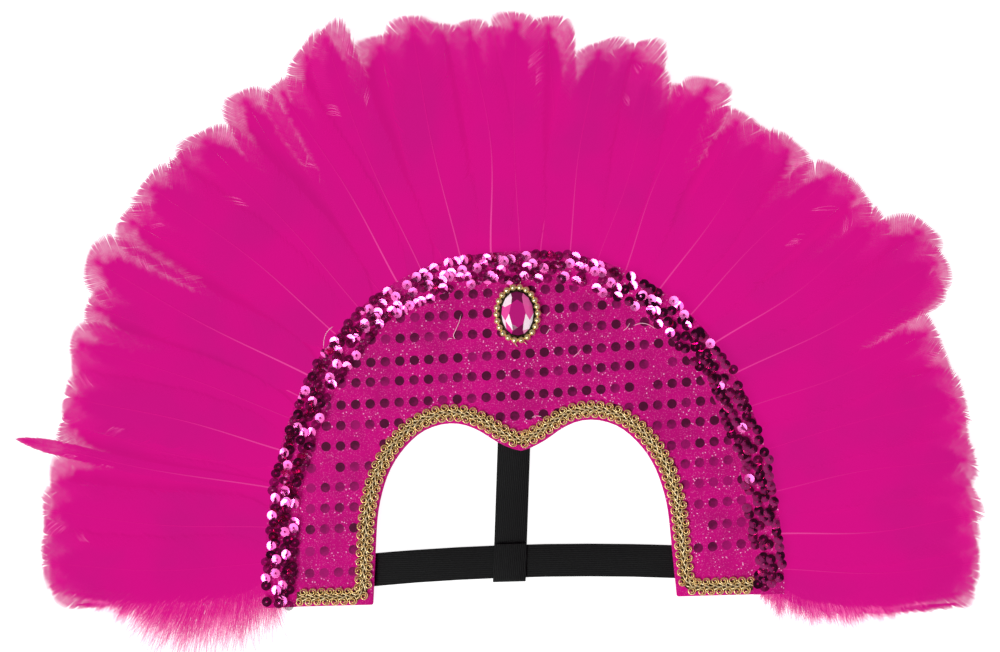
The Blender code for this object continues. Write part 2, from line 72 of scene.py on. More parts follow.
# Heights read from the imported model
PANEL_LOW, PANEL_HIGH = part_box("crown_panel")
REAR_LOW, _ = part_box("feather_fan_rear")
FRONT_LOW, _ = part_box("feather_fan_front")
TRIM_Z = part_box("sequin_band")[0].z
ORIGIN_X = (PANEL_LOW.x + PANEL_HIGH.x) / 2
ORIGIN_Y = PANEL_LOW.y + FOOT_DROP
FOOT_Y = -FOOT_DROP
TAPE_HALF = 0.00065

PATH_REACH = 0.0012
CURVE_STEPS = 8


# Sockets and materials

class Wire:
    """A shader socket in arithmetic: each operator adds its Math node."""

    def __init__(self, finish, socket):
        self.finish = finish
        self.socket = socket

    def math(self, operation, *others):
        values = dict(enumerate((self,) + others))
        return self.finish.node("ShaderNodeMath", {"operation": operation}, values)

    def __add__(self, other):
        return self.math("ADD", other)

    def __sub__(self, other):
        return self.math("SUBTRACT", other)

    def __rsub__(self, other):
        return (self * -1.0) + other

    def __mul__(self, other):
        return self.math("MULTIPLY", other)

    def __truediv__(self, other):
        return self.math("DIVIDE", other)

    def __lt__(self, other):
        return self.math("LESS_THAN", other)

    __radd__ = __add__
    __rmul__ = __mul__

    def rise(self, low, high):
        """0 below low, 1 above high, and a smooth rise between them."""
        return self.finish.node(
            "ShaderNodeMapRange",
            {"interpolation_type": "SMOOTHSTEP"},
            {"Value": self, "From Min": low, "From Max": high},
            "Result",
        )


class Finish:
    """A material in the making, and the one way its nodes are added."""

    def __init__(self, name, **uniform):
        self.material = bpy.data.materials.new(name)
        self.material.use_nodes = True
        self.tree = self.material.node_tree
        self.shader = self.tree.nodes["Principled BSDF"]
        for title, value in uniform.items():
            self.set(title.replace("_", " ").title().replace("Ior", "IOR"), value)

    def node(self, kind, settings=None, inputs=None, output=0):
        made = self.tree.nodes.new(kind)
        for key, value in (settings or {}).items():
            if key == "stops":
                self.fill_ramp(made.color_ramp, value)
            else:
                setattr(made, key, value)
        for key, value in (inputs or {}).items():
            self.feed(self.find(made.inputs, key), value)
        return Wire(self, self.find(made.outputs, output))

    @staticmethod
    def find(sockets, key):
        """A socket by its number, its identifier or its name."""
        if isinstance(key, int):
            return sockets[key]
        for socket in sockets:
            if socket.identifier == key:
                return socket
        return sockets[key]

    @staticmethod
    def fill_ramp(ramp, stops):
        while len(ramp.elements) < len(stops):
            ramp.elements.new(0.5)
        for element, (place, colour) in zip(ramp.elements, stops):
            element.position = place
            element.color = (*colour, 1.0)

    def feed(self, socket, value):
        if isinstance(value, Wire):
            self.tree.links.new(value.socket, socket)
        elif isinstance(value, tuple) and len(value) == 3 and socket.type == "RGBA":
            socket.default_value = (*value, 1.0)
        else:
            socket.default_value = value

    def set(self, title, value):
        self.feed(self.shader.inputs[title], value)

    def place(self):
        """The object's own coordinates."""
        return self.node("ShaderNodeTexCoord", None, None, "Object")

    def chart(self, name):
        """A named UV map, as its two numbers."""
        both = self.node("ShaderNodeUVMap", {"uv_map": name})
        split = self.node("ShaderNodeSeparateXYZ", None, {0: both}, "X")
        return split, Wire(self, split.socket.node.outputs["Y"])

    def tone(self, name="tone"):
        """A number that the mesh holds for each point or face."""
        return self.node("ShaderNodeAttribute", {"attribute_name": name}, None, "Fac")

    def glow(self, colour, strength, base=None):
        """A colour painted with its own glow as well, so shade on it stays light."""
        self.set("Base Color", base or colour)
        self.set("Emission Color", colour)
        self.set("Emission Strength", strength)

    def mix(self, share, first, second):
        """One colour into another."""
        return self.node(
            "ShaderNodeMix",
            {"data_type": "RGBA"},
            {"Factor_Float": share, "A_Color": first, "B_Color": second},
            "Result_Color",
        )

    def stretch(self, vector, scale, turn=(0.0, 0.0, 0.0)):
        return self.node(
            "ShaderNodeMapping", None, {"Vector": vector, "Scale": scale, "Rotation": turn}
        )

    def noise(self, vector, scale, detail=2.0, roughness=0.5):
        return self.node(
            "ShaderNodeTexNoise", None,
            {"Vector": vector, "Scale": scale, "Detail": detail, "Roughness": roughness},
            "Fac",
        )

    def bump(self, height, depth, strength=1.0):
        """Feed a height, in metres of depth, to the shader's normal."""
        bumped = self.node(
            "ShaderNodeBump", None,
            {"Height": height, "Distance": depth, "Strength": strength},
        )
        self.set("Normal", bumped)


class Sky(Finish):
    """The world's light, made of the same kind of nodes."""

    def __init__(self, name):
        world = bpy.data.worlds.new(name)
        bpy.context.scene.world = world
        world.use_nodes = True
        self.tree = world.node_tree
        self.shader = self.tree.nodes["Background"]


# Paths on the drawing

def spot(x, y, z):
    """A place on the drawing, in the frame."""
    return Vector((ORIGIN_X + x, ORIGIN_Y + y, z))


def in_frame(x, y, z):
    """Points in the frame for places on the drawing."""
    return np.stack(np.broadcast_arrays(ORIGIN_X + x, ORIGIN_Y + y, z), -1)


def unit(rows):
    """Rows of numbers, each made one long."""
    return rows / np.maximum(np.linalg.norm(rows, axis=-1, keepdims=True), 1e-9)


def measured(points):
    """How far each point of a path is from its start."""
    steps = np.linalg.norm(np.diff(points, axis=0), axis=1)
    return np.concatenate([[0.0], np.cumsum(steps)])


def at_marks(points, marks, distances):
    return np.stack([np.interp(distances, marks, points[:, k]) for k in (0, 1)], 1)


def along_path(points, distances):
    """Points on a path at the given distances, and the ways to its left there."""
    marks = measured(points)
    distances = np.clip(distances, 0.0, marks[-1])
    before = at_marks(points, marks, distances - PATH_REACH)
    run = unit(at_marks(points, marks, distances + PATH_REACH) - before)
    return at_marks(points, marks, distances), np.stack([-run[:, 1], run[:, 0]], 1)


def beside(points, distance):
    """A path to the right of another."""
    run = unit(np.gradient(points, axis=0))
    return points + np.stack([run[:, 1], -run[:, 0]], 1) * distance


def arch_line():
    angle = np.linspace(math.pi, 0.0, 241)
    across, up = np.cos(angle), np.maximum(np.sin(angle), 0.0)
    x = ARCH_HALF_WIDTH * np.sign(across) * np.abs(across) ** (2 / ARCH_POWER)
    y = ARCH_HEIGHT * up ** (2 / ARCH_POWER)
    points = np.stack([x, y], 1)
    ends = np.array([[-ARCH_HALF_WIDTH, FOOT_Y], [ARCH_HALF_WIDTH, FOOT_Y]])
    return np.concatenate([ends[:1], points, ends[1:]])


def window_line():
    """The right half of the window's edge as a smooth curve."""
    corners = np.array([
        (WINDOW_HALF_WIDTH * across, FOOT_Y + WINDOW_HEIGHT * up)
        for across, up in WINDOW_EDGE
    ])
    padded = np.concatenate([
        [2 * corners[0] - corners[1]], corners, [2 * corners[-1] - corners[-2]]
    ])
    curve = []
    for a, b, c, d in zip(padded, padded[1:], padded[2:], padded[3:]):
        for k in range(CURVE_STEPS):
            t = k / CURVE_STEPS
            curve.append(
                0.5 * (2 * b + (c - a) * t + (2 * a - 5 * b + 4 * c - d) * t**2
                       + (3 * b - a - 3 * c + d) * t**3)
            )
    return np.array(curve + [corners[-1]])


ARCH = arch_line()
ARCH_LENGTH = measured(ARCH)[-1]


# Meshes

def lifted(bm):
    """The points and faces of a bmesh, which is freed."""
    bm.verts.index_update()
    points = np.array([vertex.co for vertex in bm.verts])
    faces = np.array([[vertex.index for vertex in face.verts] for face in bm.faces])
    bm.free()
    return points, faces


def strip_template(parts, lanes=1):
    """A unit strip: x from -1 to 1 across, y from 0 to 1 along."""
    bm = bmesh.new()
    bmesh.ops.create_grid(bm, x_segments=lanes, y_segments=parts, size=1.0)
    points, faces = lifted(bm)
    points[:, 1] = (points[:, 1] + 1) / 2
    return points, faces


def disc_template(sides):
    """A unit disc of triangles."""
    bm = bmesh.new()
    bmesh.ops.create_circle(bm, cap_ends=True, cap_tris=True, segments=sides, radius=1.0)
    outward(bm)
    return lifted(bm)


def edges_of(ring):
    """The edges at some points, each once and always in the same order."""
    return list(dict.fromkeys(edge for vertex in ring for edge in vertex.link_edges))


def tube_template(sides, parts):
    """A unit tube along z, open at both ends: radius 1, height 1."""
    bm = bmesh.new()
    ring = bmesh.ops.create_circle(bm, segments=sides, radius=1.0)["verts"]
    edges = edges_of(ring)
    for _ in range(parts):
        grown = bmesh.ops.extrude_edge_only(bm, edges=edges)["geom"]
        fresh = [item for item in grown if isinstance(item, bmesh.types.BMVert)]
        edges = [item for item in grown if isinstance(item, bmesh.types.BMEdge)]
        bmesh.ops.translate(bm, verts=fresh, vec=(0.0, 0.0, 1.0 / parts))
    outward(bm)
    return lifted(bm)


def linked(name, data):
    """A new object in the scene."""
    made = bpy.data.objects.new(name, data)
    bpy.context.scene.collection.objects.link(made)
    return made


def joined(name, template, shapes, charts=None, tones=None):
    """One mesh of many copies of a template, each with its own points.

    shapes holds the copies' points, charts the UV maps and tones the attributes,
    each with a value for every point of every copy.
    """
    _, faces = template
    copies, size = shapes.shape[:2]
    firsts = (np.arange(copies) * size)[:, None, None]
    all_faces = (faces[None] + firsts).reshape(-1, faces.shape[1])
    mesh = bpy.data.meshes.new(name)
    mesh.from_pydata(shapes.reshape(-1, 3).tolist(), [], all_faces.tolist())
    corners = all_faces.reshape(-1)
    for title, values in (charts or {}).items():
        chart = values.reshape(-1, 2)[corners].reshape(-1).astype(np.float32)
        mesh.uv_layers.new(name=title).data.foreach_set("uv", chart)
    for title, values in (tones or {}).items():
        made = mesh.attributes.new(title, "FLOAT", "POINT")
        made.data.foreach_set("value", values.reshape(-1).astype(np.float32))
    mesh.shade_smooth()
    return linked(name, mesh)


def tubes(name, paths, radii, sides, tones=None):
    """One mesh of many round threads, each through its own row of points."""
    stations = paths.shape[1]
    template = tube_template(sides, stations - 1)
    points, _ = template
    index = np.rint(points[:, 2] * (stations - 1)).astype(int)
    run = unit(np.gradient(paths, axis=1))
    side = unit(np.cross(run, (0.0, 0.0, 1.0)))
    up = np.cross(side, run)
    radii = np.broadcast_to(radii, paths.shape[:2])[:, index, None]
    shapes = paths[:, index] + radii * (
        points[:, 0, None] * side[:, index] + points[:, 1, None] * up[:, index]
    )
    spread = {
        title: np.broadcast_to(np.asarray(values)[:, None], shapes.shape[:2])
        for title, values in (tones or {}).items()
    }
    return joined(name, template, shapes, None, spread)


def closed_ends(stations, radius):
    """A thread's radii, drawn in to nothing at both ends."""
    radii = np.full(stations, radius)
    radii[0] = radii[-1] = radius * 0.05
    return radii


def outward(bm):
    bmesh.ops.recalc_face_normals(bm, faces=bm.faces)


def shown(name, bm, smooth=40):
    """A new object for a bmesh, shaded smooth but for its sharp folds."""
    mesh = bpy.data.meshes.new(name)
    bm.to_mesh(mesh)
    bm.free()
    mesh.shade_smooth()
    mesh.set_sharp_from_angle(angle=math.radians(smooth))
    return linked(name, mesh)


def ribbon(name, path, parts, lanes, half_width, height, fall=0.0):
    """A flat strip that lies along a path, and falls towards its edges."""
    bm = bmesh.new()
    bmesh.ops.create_grid(bm, x_segments=lanes, y_segments=parts, size=1.0)
    total = measured(path)[-1]
    distances = np.array([(vertex.co.y + 1) / 2 * total for vertex in bm.verts])
    for vertex, at, way in zip(bm.verts, *along_path(path, distances)):
        at = at + way * vertex.co.x * half_width
        z = TRIM_Z + height * (1 - fall * abs(vertex.co.x) ** 3)
        vertex.co = spot(at[0], at[1], z)
    outward(bm)
    return shown(name, bm)


def dress(piece, finish, slot, *nodes):
    """Give a piece its material and its body, and hide the nodes it stands for; the slot is not
    used.
    """
    piece.data.materials.clear()
    piece.data.materials.append(finish)
    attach(piece, "root")
    if nodes:
        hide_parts(*nodes)
    return piece


def smooth_step(low, high, value):
    t = np.clip((value - low) / (high - low), 0.0, 1.0)
    return t * t * (3 - 2 * t)


# Feathers

FEATHER_REACH = 0.140
VANE_WIDTH = 0.038
QUILL_START = -0.0025
REAR_RISE = 0.0060
FRONT_RISE = 0.0120
VANE_ROLL = math.tan(math.radians(5.0))
BARB_STEP = 0.00105
BARB_WIDTH = 0.00140
BARB_PARTS = 7
BARB_SWEEP = 0.80
RIM_DEPTH = 0.0110
TIP_START = 0.87
FLOOR_GAP = 0.0003
VANE_FULLNESS = 1.14
SKIRT_HAIRS = 1150
SKIRT_PLACES = (0.0, 0.12, 0.45, 0.75, 1.0)
SKIRT_REACH = {
    -1.0: (0.002, 0.028, 0.037, 0.013, 0.001),
    1.0: (0.003, 0.0145, 0.012, 0.007, 0.002),
}
# lowest and highest place over the vane, share of the reach
SKIRT_DYED = (-0.0012, 0.0001, 0.74)
SKIRT_PALE = (-0.0036, -0.0013, 1.0)
HAIR_HALF = 0.00017
QUILL_RADIUS = 0.00024
QUILL_GAIN = 0.00034
QUILL_LIFT = 0.00028
BOW = (0.002, 0.0065)
SLANT_SPREAD = 0.22
RAGGED = (0.5, 0.8, 1.5, 2.4)
CAMBER = 0.0006
RIPPLE = 0.0004
TIP_POWERS = (2.2, 3.8)
SPIKE_WIDTH = 0.2
SPIKE_POWER = 1.3
# share of the bunches that part widely; barbs in a bunch and how far they draw together
PARTED_SHARE = 0.06
PARTED = ((7, 22), (0.10, 0.30))
PLAIN = ((1, 5), (0.0, 0.35))
STRAY_SHARE = 0.07
# Painted glow of the barbs and the wisps, and the share by which the barbs' lit base colour is
# darkened to make room for it
FEATHER_GLOW = 1.48
FEATHER_DARKENING = 0.72
WISP_GLOW = 0.76
# name, first feather, the tape's underside, rise, seed
FANS = (
    ("rear", 0, REAR_LOW.z, REAR_RISE, 11),
    ("front", 1, FRONT_LOW.z, FRONT_RISE, 57),
)

# Every feather in turn round the arch, the rear and the front row by turns
FEATHERS = (
    # place, reach, width, quill
    (0.030, 0.96, 0.80, 0.2), (0.047, 0.98, 0.90, 0.0), (0.065, 0.99, 0.90, 0.0),
    (0.084, 0.99, 0.90, 0.1), (0.104, 0.98, 0.90, 0.0), (0.124, 1.14, 0.19, 0.6),
    (0.146, 0.975, 0.90, 0.0), (0.164, 0.98, 0.80, 0.7), (0.182, 0.99, 0.80, 0.0),
    (0.198, 1.02, 0.70, 0.1), (0.222, 1.02, 0.80, 0.5), (0.246, 1.10, 0.90, 0.9),
    (0.274, 1.07, 0.80, 0.0), (0.295, 1.075, 0.95, 0.6), (0.314, 1.05, 0.80, 0.0),
    (0.330, 1.05, 0.90, 0.2), (0.357, 1.08, 0.75, 0.0), (0.376, 1.02, 0.65, 0.9),
    (0.392, 1.11, 0.85, 0.0), (0.403, 1.13, 0.70, 0.4), (0.426, 1.04, 1.00, 0.0),
    (0.444, 1.08, 0.80, 0.6), (0.459, 1.035, 0.90, 0.0), (0.474, 1.03, 0.62, 1.0),
    (0.491, 1.00, 0.68, 0.0), (0.505, 1.05, 0.78, 0.2), (0.525, 1.04, 0.70, 0.4),
    (0.556, 0.95, 0.85, 0.5), (0.572, 0.98, 0.88, 0.0), (0.583, 0.91, 0.62, 0.1),
    (0.602, 0.86, 0.75, 0.0), (0.614, 0.93, 0.80, 0.5), (0.635, 0.87, 0.85, 0.0),
    (0.651, 0.86, 0.80, 0.7), (0.666, 0.89, 0.85, 0.0), (0.692, 0.92, 0.80, 0.5),
    (0.709, 0.94, 0.90, 0.0), (0.728, 0.93, 0.72, 0.8), (0.749, 1.07, 0.85, 0.0),
    (0.765, 1.05, 0.90, 0.6), (0.775, 1.00, 0.72, 0.0), (0.802, 0.89, 0.75, 0.2),
    (0.829, 0.90, 0.90, 0.1), (0.850, 0.91, 0.90, 0.0), (0.872, 0.90, 0.90, 0.0),
    (0.894, 0.90, 0.90, 0.2), (0.916, 0.88, 0.90, 0.0), (0.937, 0.87, 0.90, 0.8),
    (0.956, 0.87, 0.90, 0.0), (0.974, 0.87, 0.90, 0.2), (0.986, 0.85, 0.80, 0.3),
)
# Degrees that a feather leans towards the top, and its barbs' slant, by its place
LEANS = {
    0.030: -0.5, 0.047: -1.0, 0.124: 2.0, 0.376: -1.0, 0.556: -1.0, 0.614: -0.5,
    0.749: -1.0, 0.974: 0.5, 0.986: 1.0,
}
SLANTS = {0.124: -0.6, 0.392: 0.5, 0.403: 0.6}


class Vane:
    """One feather's place: turns across and along its quill into the frame."""

    def __init__(self, row, root_height, rise, seed):
        place, reach, width, quill = row
        at, out = along_path(ARCH, np.array([ARCH_LENGTH * place]))
        at, out = at[0], out[0]
        turn = math.radians(-LEANS.get(place, 0.0))
        self.way = np.array([
            out[0] * math.cos(turn) - out[1] * math.sin(turn),
            out[0] * math.sin(turn) + out[1] * math.cos(turn),
        ])
        self.side = np.array([self.way[1], -self.way[0]])
        self.root = at + out * QUILL_START
        self.length = FEATHER_REACH * reach - QUILL_START
        self.half = VANE_WIDTH * width / 2 * VANE_FULLNESS
        self.height = root_height
        self.rise = rise
        self.quill = quill
        self.luck = random.Random(seed)
        self.bow = self.luck.choice((-1, 1)) * self.luck.uniform(*BOW)
        self.wave = self.luck.uniform(0.0, 2 * math.pi)
        self.slant = SLANTS.get(place) or self.luck.gauss(0.0, SLANT_SPREAD)
        self.ragged = self.luck.choice(RAGGED)
        power = SPIKE_POWER if width < SPIKE_WIDTH else self.luck.uniform(*TIP_POWERS)
        self.outline = self.half_outline(power)

    def lay(self, across, along, lift=0.0):
        """Points in the frame for places on the vane, in metres."""
        s = np.clip(along / self.length, 0.0, 1.15)
        along = along + self.slant * across * smooth_step(0.35, 1.0, s)
        sideways = across + self.bow * np.sin(math.pi * np.clip(s, 0, 1)) ** 2
        x = self.root[0] + self.way[0] * along + self.side[0] * sideways
        y = self.root[1] + self.way[1] * along + self.side[1] * sideways
        rise = smooth_step(0.04, 0.66, s) * (1 - 0.34 * np.clip((s - 0.72) / 0.28, 0, 1.2) ** 2)
        roll = VANE_ROLL * smooth_step(0.06, 0.42, s)
        share = np.abs(across) / self.half
        camber = -CAMBER * share**2 * smooth_step(0.1, 0.5, s)
        ripple = RIPPLE * share * np.sin(self.wave + along * 160.0) * smooth_step(0.3, 0.7, s)
        z = self.height + self.rise * rise + across * roll + camber + ripple + lift
        return in_frame(x, y, np.maximum(z, FLOOR_GAP))

    def half_outline(self, tip_power):
        """One side of the vane from the root to the tip: half widths and places along."""
        side = np.linspace(0.06, TIP_START, 80)
        angle = np.linspace(0.0, math.pi / 2, 120)[1:]
        width = 1 - np.exp(-((side / 0.11) ** 1.3))
        width = np.concatenate([width, np.abs(np.cos(angle)) ** (2 / tip_power) * width[-1]])
        tip = TIP_START + (1 - TIP_START) * np.sin(angle) ** (2 / tip_power)
        return np.stack([self.half * width, self.length * np.concatenate([side, tip])], 1)

    def rim(self, e):
        """The outline's half width and place along, for e from the root to the tip."""
        marks = measured(self.outline)
        return at_marks(self.outline, marks, e * marks[-1]).T


def fan_vanes(fan):
    """A fan's vanes in turn, each with the side that a skirt hangs from, if any."""
    _, first, low, rise, seed = fan
    rows = FEATHERS[first::2]
    outer = {0: -1.0, len(rows) - 1: 1.0}
    return [
        (Vane(row, low + TAPE_HALF, rise, seed + index), outer.get(index))
        for index, row in enumerate(rows)
    ]


def barb_rows(vane, luck):
    """The barbs of one feather: points, distances from the rim and the tip share."""
    outline = vane.length * 0.8 + vane.half + vane.length * (1 - TIP_START)
    count = int(outline / BARB_STEP)
    strip, _ = BARB
    u, t = strip[:, 0], strip[:, 1]
    shapes, rims, tips = [], [], []
    for side in (-1.0, 1.0):
        rim_depth = RIM_DEPTH * luck.uniform(0.55, 1.15)
        e = (np.arange(count) + 0.5) / count
        width, along = vane.rim(e)
        clump, middle, pull = np.zeros((3, count))
        start = 0
        while start < count:
            barbs, draw = PARTED if luck.random() < PARTED_SHARE else PLAIN
            stop = min(count, start + luck.randint(*barbs))
            clump[start:stop] = luck.uniform(-1, 1)
            middle[start:stop] = (e[start] + e[stop - 1]) / 2
            pull[start:stop] = luck.uniform(*draw)
            start = stop
        jitter = np.array([luck.gauss(0, 1) for _ in range(count)])
        stray = np.array([luck.random() > 1 - STRAY_SHARE for _ in range(count)])
        ripple = np.sin(e * 31.0 + vane.wave) + 0.6 * np.sin(e * 67.0 + 2 * vane.wave)
        rough = 0.010 * clump + 0.008 * jitter + 0.03 * stray
        grow = 1 + vane.ragged * rough + 0.014 * ripple
        bunched = e + (middle - e) * pull
        bunch_width, bunch_along = vane.rim(np.clip(bunched, 0, 1))
        sweep = np.sqrt((width * BARB_SWEEP) ** 2 + 0.009**2)
        root_along = np.maximum(along - sweep, 0.02 * vane.length)
        for k in range(count):
            root = np.array([0.0, root_along[k]])
            plain = np.array([width[k], along[k]])
            near = np.array([bunch_width[k], bunch_along[k]])
            end = root + (plain - root) * grow[k]
            knee = np.array([width[k] * 0.52, root_along[k] + (along[k] - root_along[k]) * 0.30])
            curve = (
                ((1 - t) ** 2)[:, None] * root
                + (2 * t * (1 - t))[:, None] * knee
                + (t**2)[:, None] * end
            )
            curve += (t**5)[:, None] * (near - plain)
            run = unit(2 * (1 - t)[:, None] * (knee - root) + 2 * t[:, None] * (end - knee))
            reach = math.hypot(end[0] - root[0], end[1] - root[1])
            left_over = (1 - t) * reach
            thin = 0.74 + 0.26 * smooth_step(0.55 * rim_depth, rim_depth, left_over)
            half = BARB_WIDTH / 2 * thin * (0.25 + 0.75 * smooth_step(0.0, 0.0014, left_over))
            across = curve[:, 0] + run[:, 1] * u * half
            up = curve[:, 1] - run[:, 0] * u * half
            lift = 0.00005 * jitter[k] * t - 0.0006 * max(0.0, jitter[k] - 1.2) * t**3
            shapes.append(vane.lay(side * across, up, lift))
            rims.append(left_over * 100)
            tips.append(np.full(len(t), e[k]))
    return np.array(shapes), np.array(rims), np.array(tips)


def skirt_rows(vane, outer, luck, layer):
    """Downy hair that hangs from the outer side of the lowest feather."""
    strip, _ = BARB
    u, t = strip[:, 0], strip[:, 1]
    low, high, growth = layer
    shapes, rims, tips = [], [], []
    for _ in range(SKIRT_HAIRS):
        s = luck.random() ** 1.15
        along = vane.length * (-0.03 + 0.92 * s)
        clump = math.sin(along * 310.0) + math.sin(along * 733.0 + 1.0)
        reach = np.interp(s, SKIRT_PLACES, SKIRT_REACH[outer])
        reach *= growth * (0.96 + 0.12 * clump + luck.gauss(0, 0.17))
        sweep = math.radians(np.interp(s, (0.0, 0.3, 1.0), (-8.0, 14.0, 58.0)))
        sweep += luck.gauss(0, 0.13)
        start = vane.half * min(0.62 + 0.2 * s, 0.22 + 1.4 * s)
        curl = luck.gauss(0, 0.10)
        angle = sweep + curl * t
        across = start + reach * t * np.cos(angle)
        up = along + reach * t * np.sin(angle)
        half = HAIR_HALF * (1.0 - 0.8 * t) * smooth_step(-0.02, 0.25, t)
        lift = luck.uniform(low, high)
        shapes.append(vane.lay(outer * (across - u * half * np.sin(angle)),
                               up + u * half * np.cos(angle), lift))
        rims.append((1 - t) * reach * 100 * 0.35)
        tips.append(np.full(len(t), 0.9))
    return np.array(shapes), np.array(rims), np.array(tips)


def feather_fan(fan, finish, quill_finish):
    """One row of feathers: every barb a strip, and the quills as their own piece."""
    name, node = "feathers_" + fan[0], "feather_fan_" + fan[0]
    luck = random.Random(fan[-1])
    strip, _ = BARB
    tube, _ = QUILL
    shapes, quills, quill_tone = [], [], []
    charts = {"barb": [], "plume": [], "OFBake": []}
    vanes = fan_vanes(fan)
    grid = math.ceil(math.sqrt(len(vanes)))
    for index, (vane, outer) in enumerate(vanes):
        rows = barb_rows(vane, luck)
        if outer:
            rows = [np.concatenate(pair)
                    for pair in zip(rows, skirt_rows(vane, outer, luck, SKIRT_DYED))]
        points, rim, tip = rows
        tone = luck.random()
        shapes.append(points)
        across = np.broadcast_to((strip[:, 0] + 1) / 2, rim.shape)
        charts["barb"].append(np.stack([across, rim], -1))
        charts["plume"].append(np.stack([np.full(rim.shape, tone), tip], -1))
        local = points[..., :2] - (np.array([ORIGIN_X, ORIGIN_Y]) + vane.root)
        bake_x = (local @ vane.side) / (2.6 * vane.half) + 0.5
        bake_y = np.clip((local @ vane.way) / (vane.length * 1.08), 0, 1)
        column, line = index % grid, index // grid
        charts["OFBake"].append(np.stack([
            (column + 0.03 + 0.94 * np.clip(bake_x, 0, 1)) / grid,
            (line + 0.03 + 0.94 * bake_y) / grid,
        ], -1))
        run = np.clip(tube[:, 2], 0, 1)
        radius = (QUILL_RADIUS + QUILL_GAIN * vane.quill) * (1 - 0.80 * run) + 0.00003
        quills.append(vane.lay(
            tube[:, 0] * radius, 0.001 + run * (vane.length * 0.96),
            QUILL_LIFT + tube[:, 1] * radius,
        ))
        quill_tone.append(vane.quill * (1 - smooth_step(0.12, 0.62, run)))
    charts = {title: np.concatenate(values) for title, values in charts.items()}
    dress(joined(name, BARB, np.concatenate(shapes), charts), finish, "pink_feather", node)
    stems = joined(name + "_quills", QUILL, np.array(quills), None, {"tone": np.array(quill_tone)})
    dress(stems, quill_finish, "pink_feather", node)


BARB = strip_template(BARB_PARTS)
QUILL = tube_template(6, 18)


def feather_finish():
    """Dyed barbs: even magenta, fine lines along each barb, a thin clear rim, and a painted glow
    in their own colour that lightens the shade between feathers.
    """
    f = Finish("dyed_feather", roughness=0.8, specular_ior_level=0.0)
    across, rim = f.chart("barb")
    luck, tip = f.chart("plume")
    place = f.place()
    cloud = f.noise(place, 22.0, 3.0)
    body = f.mix(cloud.rise(0.35, 0.70), (0.390, 0.0034, 0.140), (0.345, 0.0045, 0.133))
    body = f.mix((luck - 0.5) * 0.5 + 0.25, body, (0.400, 0.0030, 0.142))
    ragged = f.noise(place, 260.0, 2.0)
    outer = tip.rise(0.45, 0.80)
    depth = 0.40 + outer * 0.90 + ragged * 0.5
    thin = (1.0 - (rim / depth).rise(0.60, 1.0)) * (0.35 + 0.65 * outer)
    line = (across - 0.5) * (across - 0.5) * 4.0
    clear = 0.10 + line * 0.30 + ragged.rise(0.3, 0.7) * 0.08
    dyed = f.mix(thin * tip.rise(0.72, 0.9) * 0.18, body, (0.52, 0.014, 0.205))
    f.set("Alpha", 1.0 - thin * clear)
    # Painted glow: the barbs glow in their own colour so the shade between feathers stays light;
    # the lit base colour is darkened to match
    f.glow(dyed, FEATHER_GLOW, f.mix(FEATHER_DARKENING, dyed, (0.0, 0.0, 0.0)))
    f.bump(1.0 - line, 0.00012, 0.2)
    return f.material


def quill_finish():
    """The quills: the vane's own pink, paler where the bare shaft shows."""
    f = Finish("feather_quill", roughness=0.6, specular_ior_level=0.08)
    tone = f.tone()
    dyed = f.mix(tone * 0.6, (0.40, 0.0034, 0.144), (0.55, 0.06, 0.25))
    # Painted glow, as on the barbs, so the quills' shaded sides stay light
    f.glow(dyed, FEATHER_GLOW, f.mix(FEATHER_DARKENING, dyed, (0.0, 0.0, 0.0)))
    return f.material


def wisp_finish():
    """Pale loose barbs."""
    f = Finish("pale_wisp", roughness=0.7, specular_ior_level=0.1, alpha=0.7)
    cloud = f.noise(f.place(), 160.0, 1.0)
    dyed = f.mix(cloud.rise(0.3, 0.7), (0.62, 0.120, 0.33), (0.54, 0.050, 0.245))
    # Painted glow in the wisps' own colour, so they stay light in shade
    f.glow(dyed, WISP_GLOW)
    return f.material


def wisp_fan(fan, finish):
    """Small bunches of loose pale barbs over the vanes, near their tips."""
    luck = random.Random(fan[-1])
    strip, _ = BARB
    u, t = strip[:, 0], strip[:, 1]
    shapes = []
    for vane, outer in fan_vanes(fan):
        if outer:
            shapes += list(skirt_rows(vane, outer, luck, SKIRT_PALE)[0])
        for _ in range(luck.randint(0, 3)):
            side = luck.choice((-1, 1))
            first = luck.uniform(0.52, 0.97)
            inner = luck.uniform(0.35, 0.75)
            for hair in range(luck.randint(3, 13)):
                e = min(0.995, first + hair * luck.uniform(0.003, 0.007))
                width, along = vane.rim(np.array([e]))
                past = inner + (1.0 - inner) * luck.uniform(0.6, 1.1) * t
                up = along[0] - np.maximum(1 - past, 0.0) ** 1.4 * width[0] * 1.1
                bend = luck.gauss(0, 0.0007) * np.sin(math.pi * t)
                half = HAIR_HALF * (1.0 - 0.75 * t) * smooth_step(-0.02, 0.2, t)
                shapes.append(vane.lay(side * (width[0] * past + u * half), up + bend, 0.0005))
    piece = joined("wisps_" + fan[0], BARB, np.array(shapes))
    dress(piece, finish, "pink_feather", "feather_fan_" + fan[0])


def add_feathers():
    vane, stem, wisp = feather_finish(), quill_finish(), wisp_finish()
    for fan in FANS:
        feather_fan(fan, vane, stem)
    for fan in FANS:
        wisp_fan(fan, wisp)


# Sequin band

SEQUIN_RADIUS = 0.0029
SEQUIN_PITCH = 0.0045
SEQUIN_STRANDS = (-0.0066, -0.0023, 0.0021, 0.0062)
SEQUIN_LEAN = 0.22
SEQUIN_CUP = ((0.22, 0.030), (0.40, 0.060), (1.0, 0.145))
GLEAM_TILT = np.array([-0.26, -0.19])
GLEAM_REACH = 0.065
GLEAM_CLEAR = 0.43
GLEAMS = np.array((
    # share of the arch, share of white sequins, share of pink ones
    (0.00, 0.17, 0.10), (0.30, 0.14, 0.08), (0.34, 0.42, 0.24), (0.46, 0.38, 0.28),
    (0.52, 0.20, 0.30), (0.60, 0.26, 0.24), (0.68, 0.12, 0.12), (0.72, 0.02, 0.05),
    (1.00, 0.01, 0.04),
))
BAND_CLOTH = 0.0006
# The knits' painted glow in their own colour
CLOTH_GLOW = 0.26


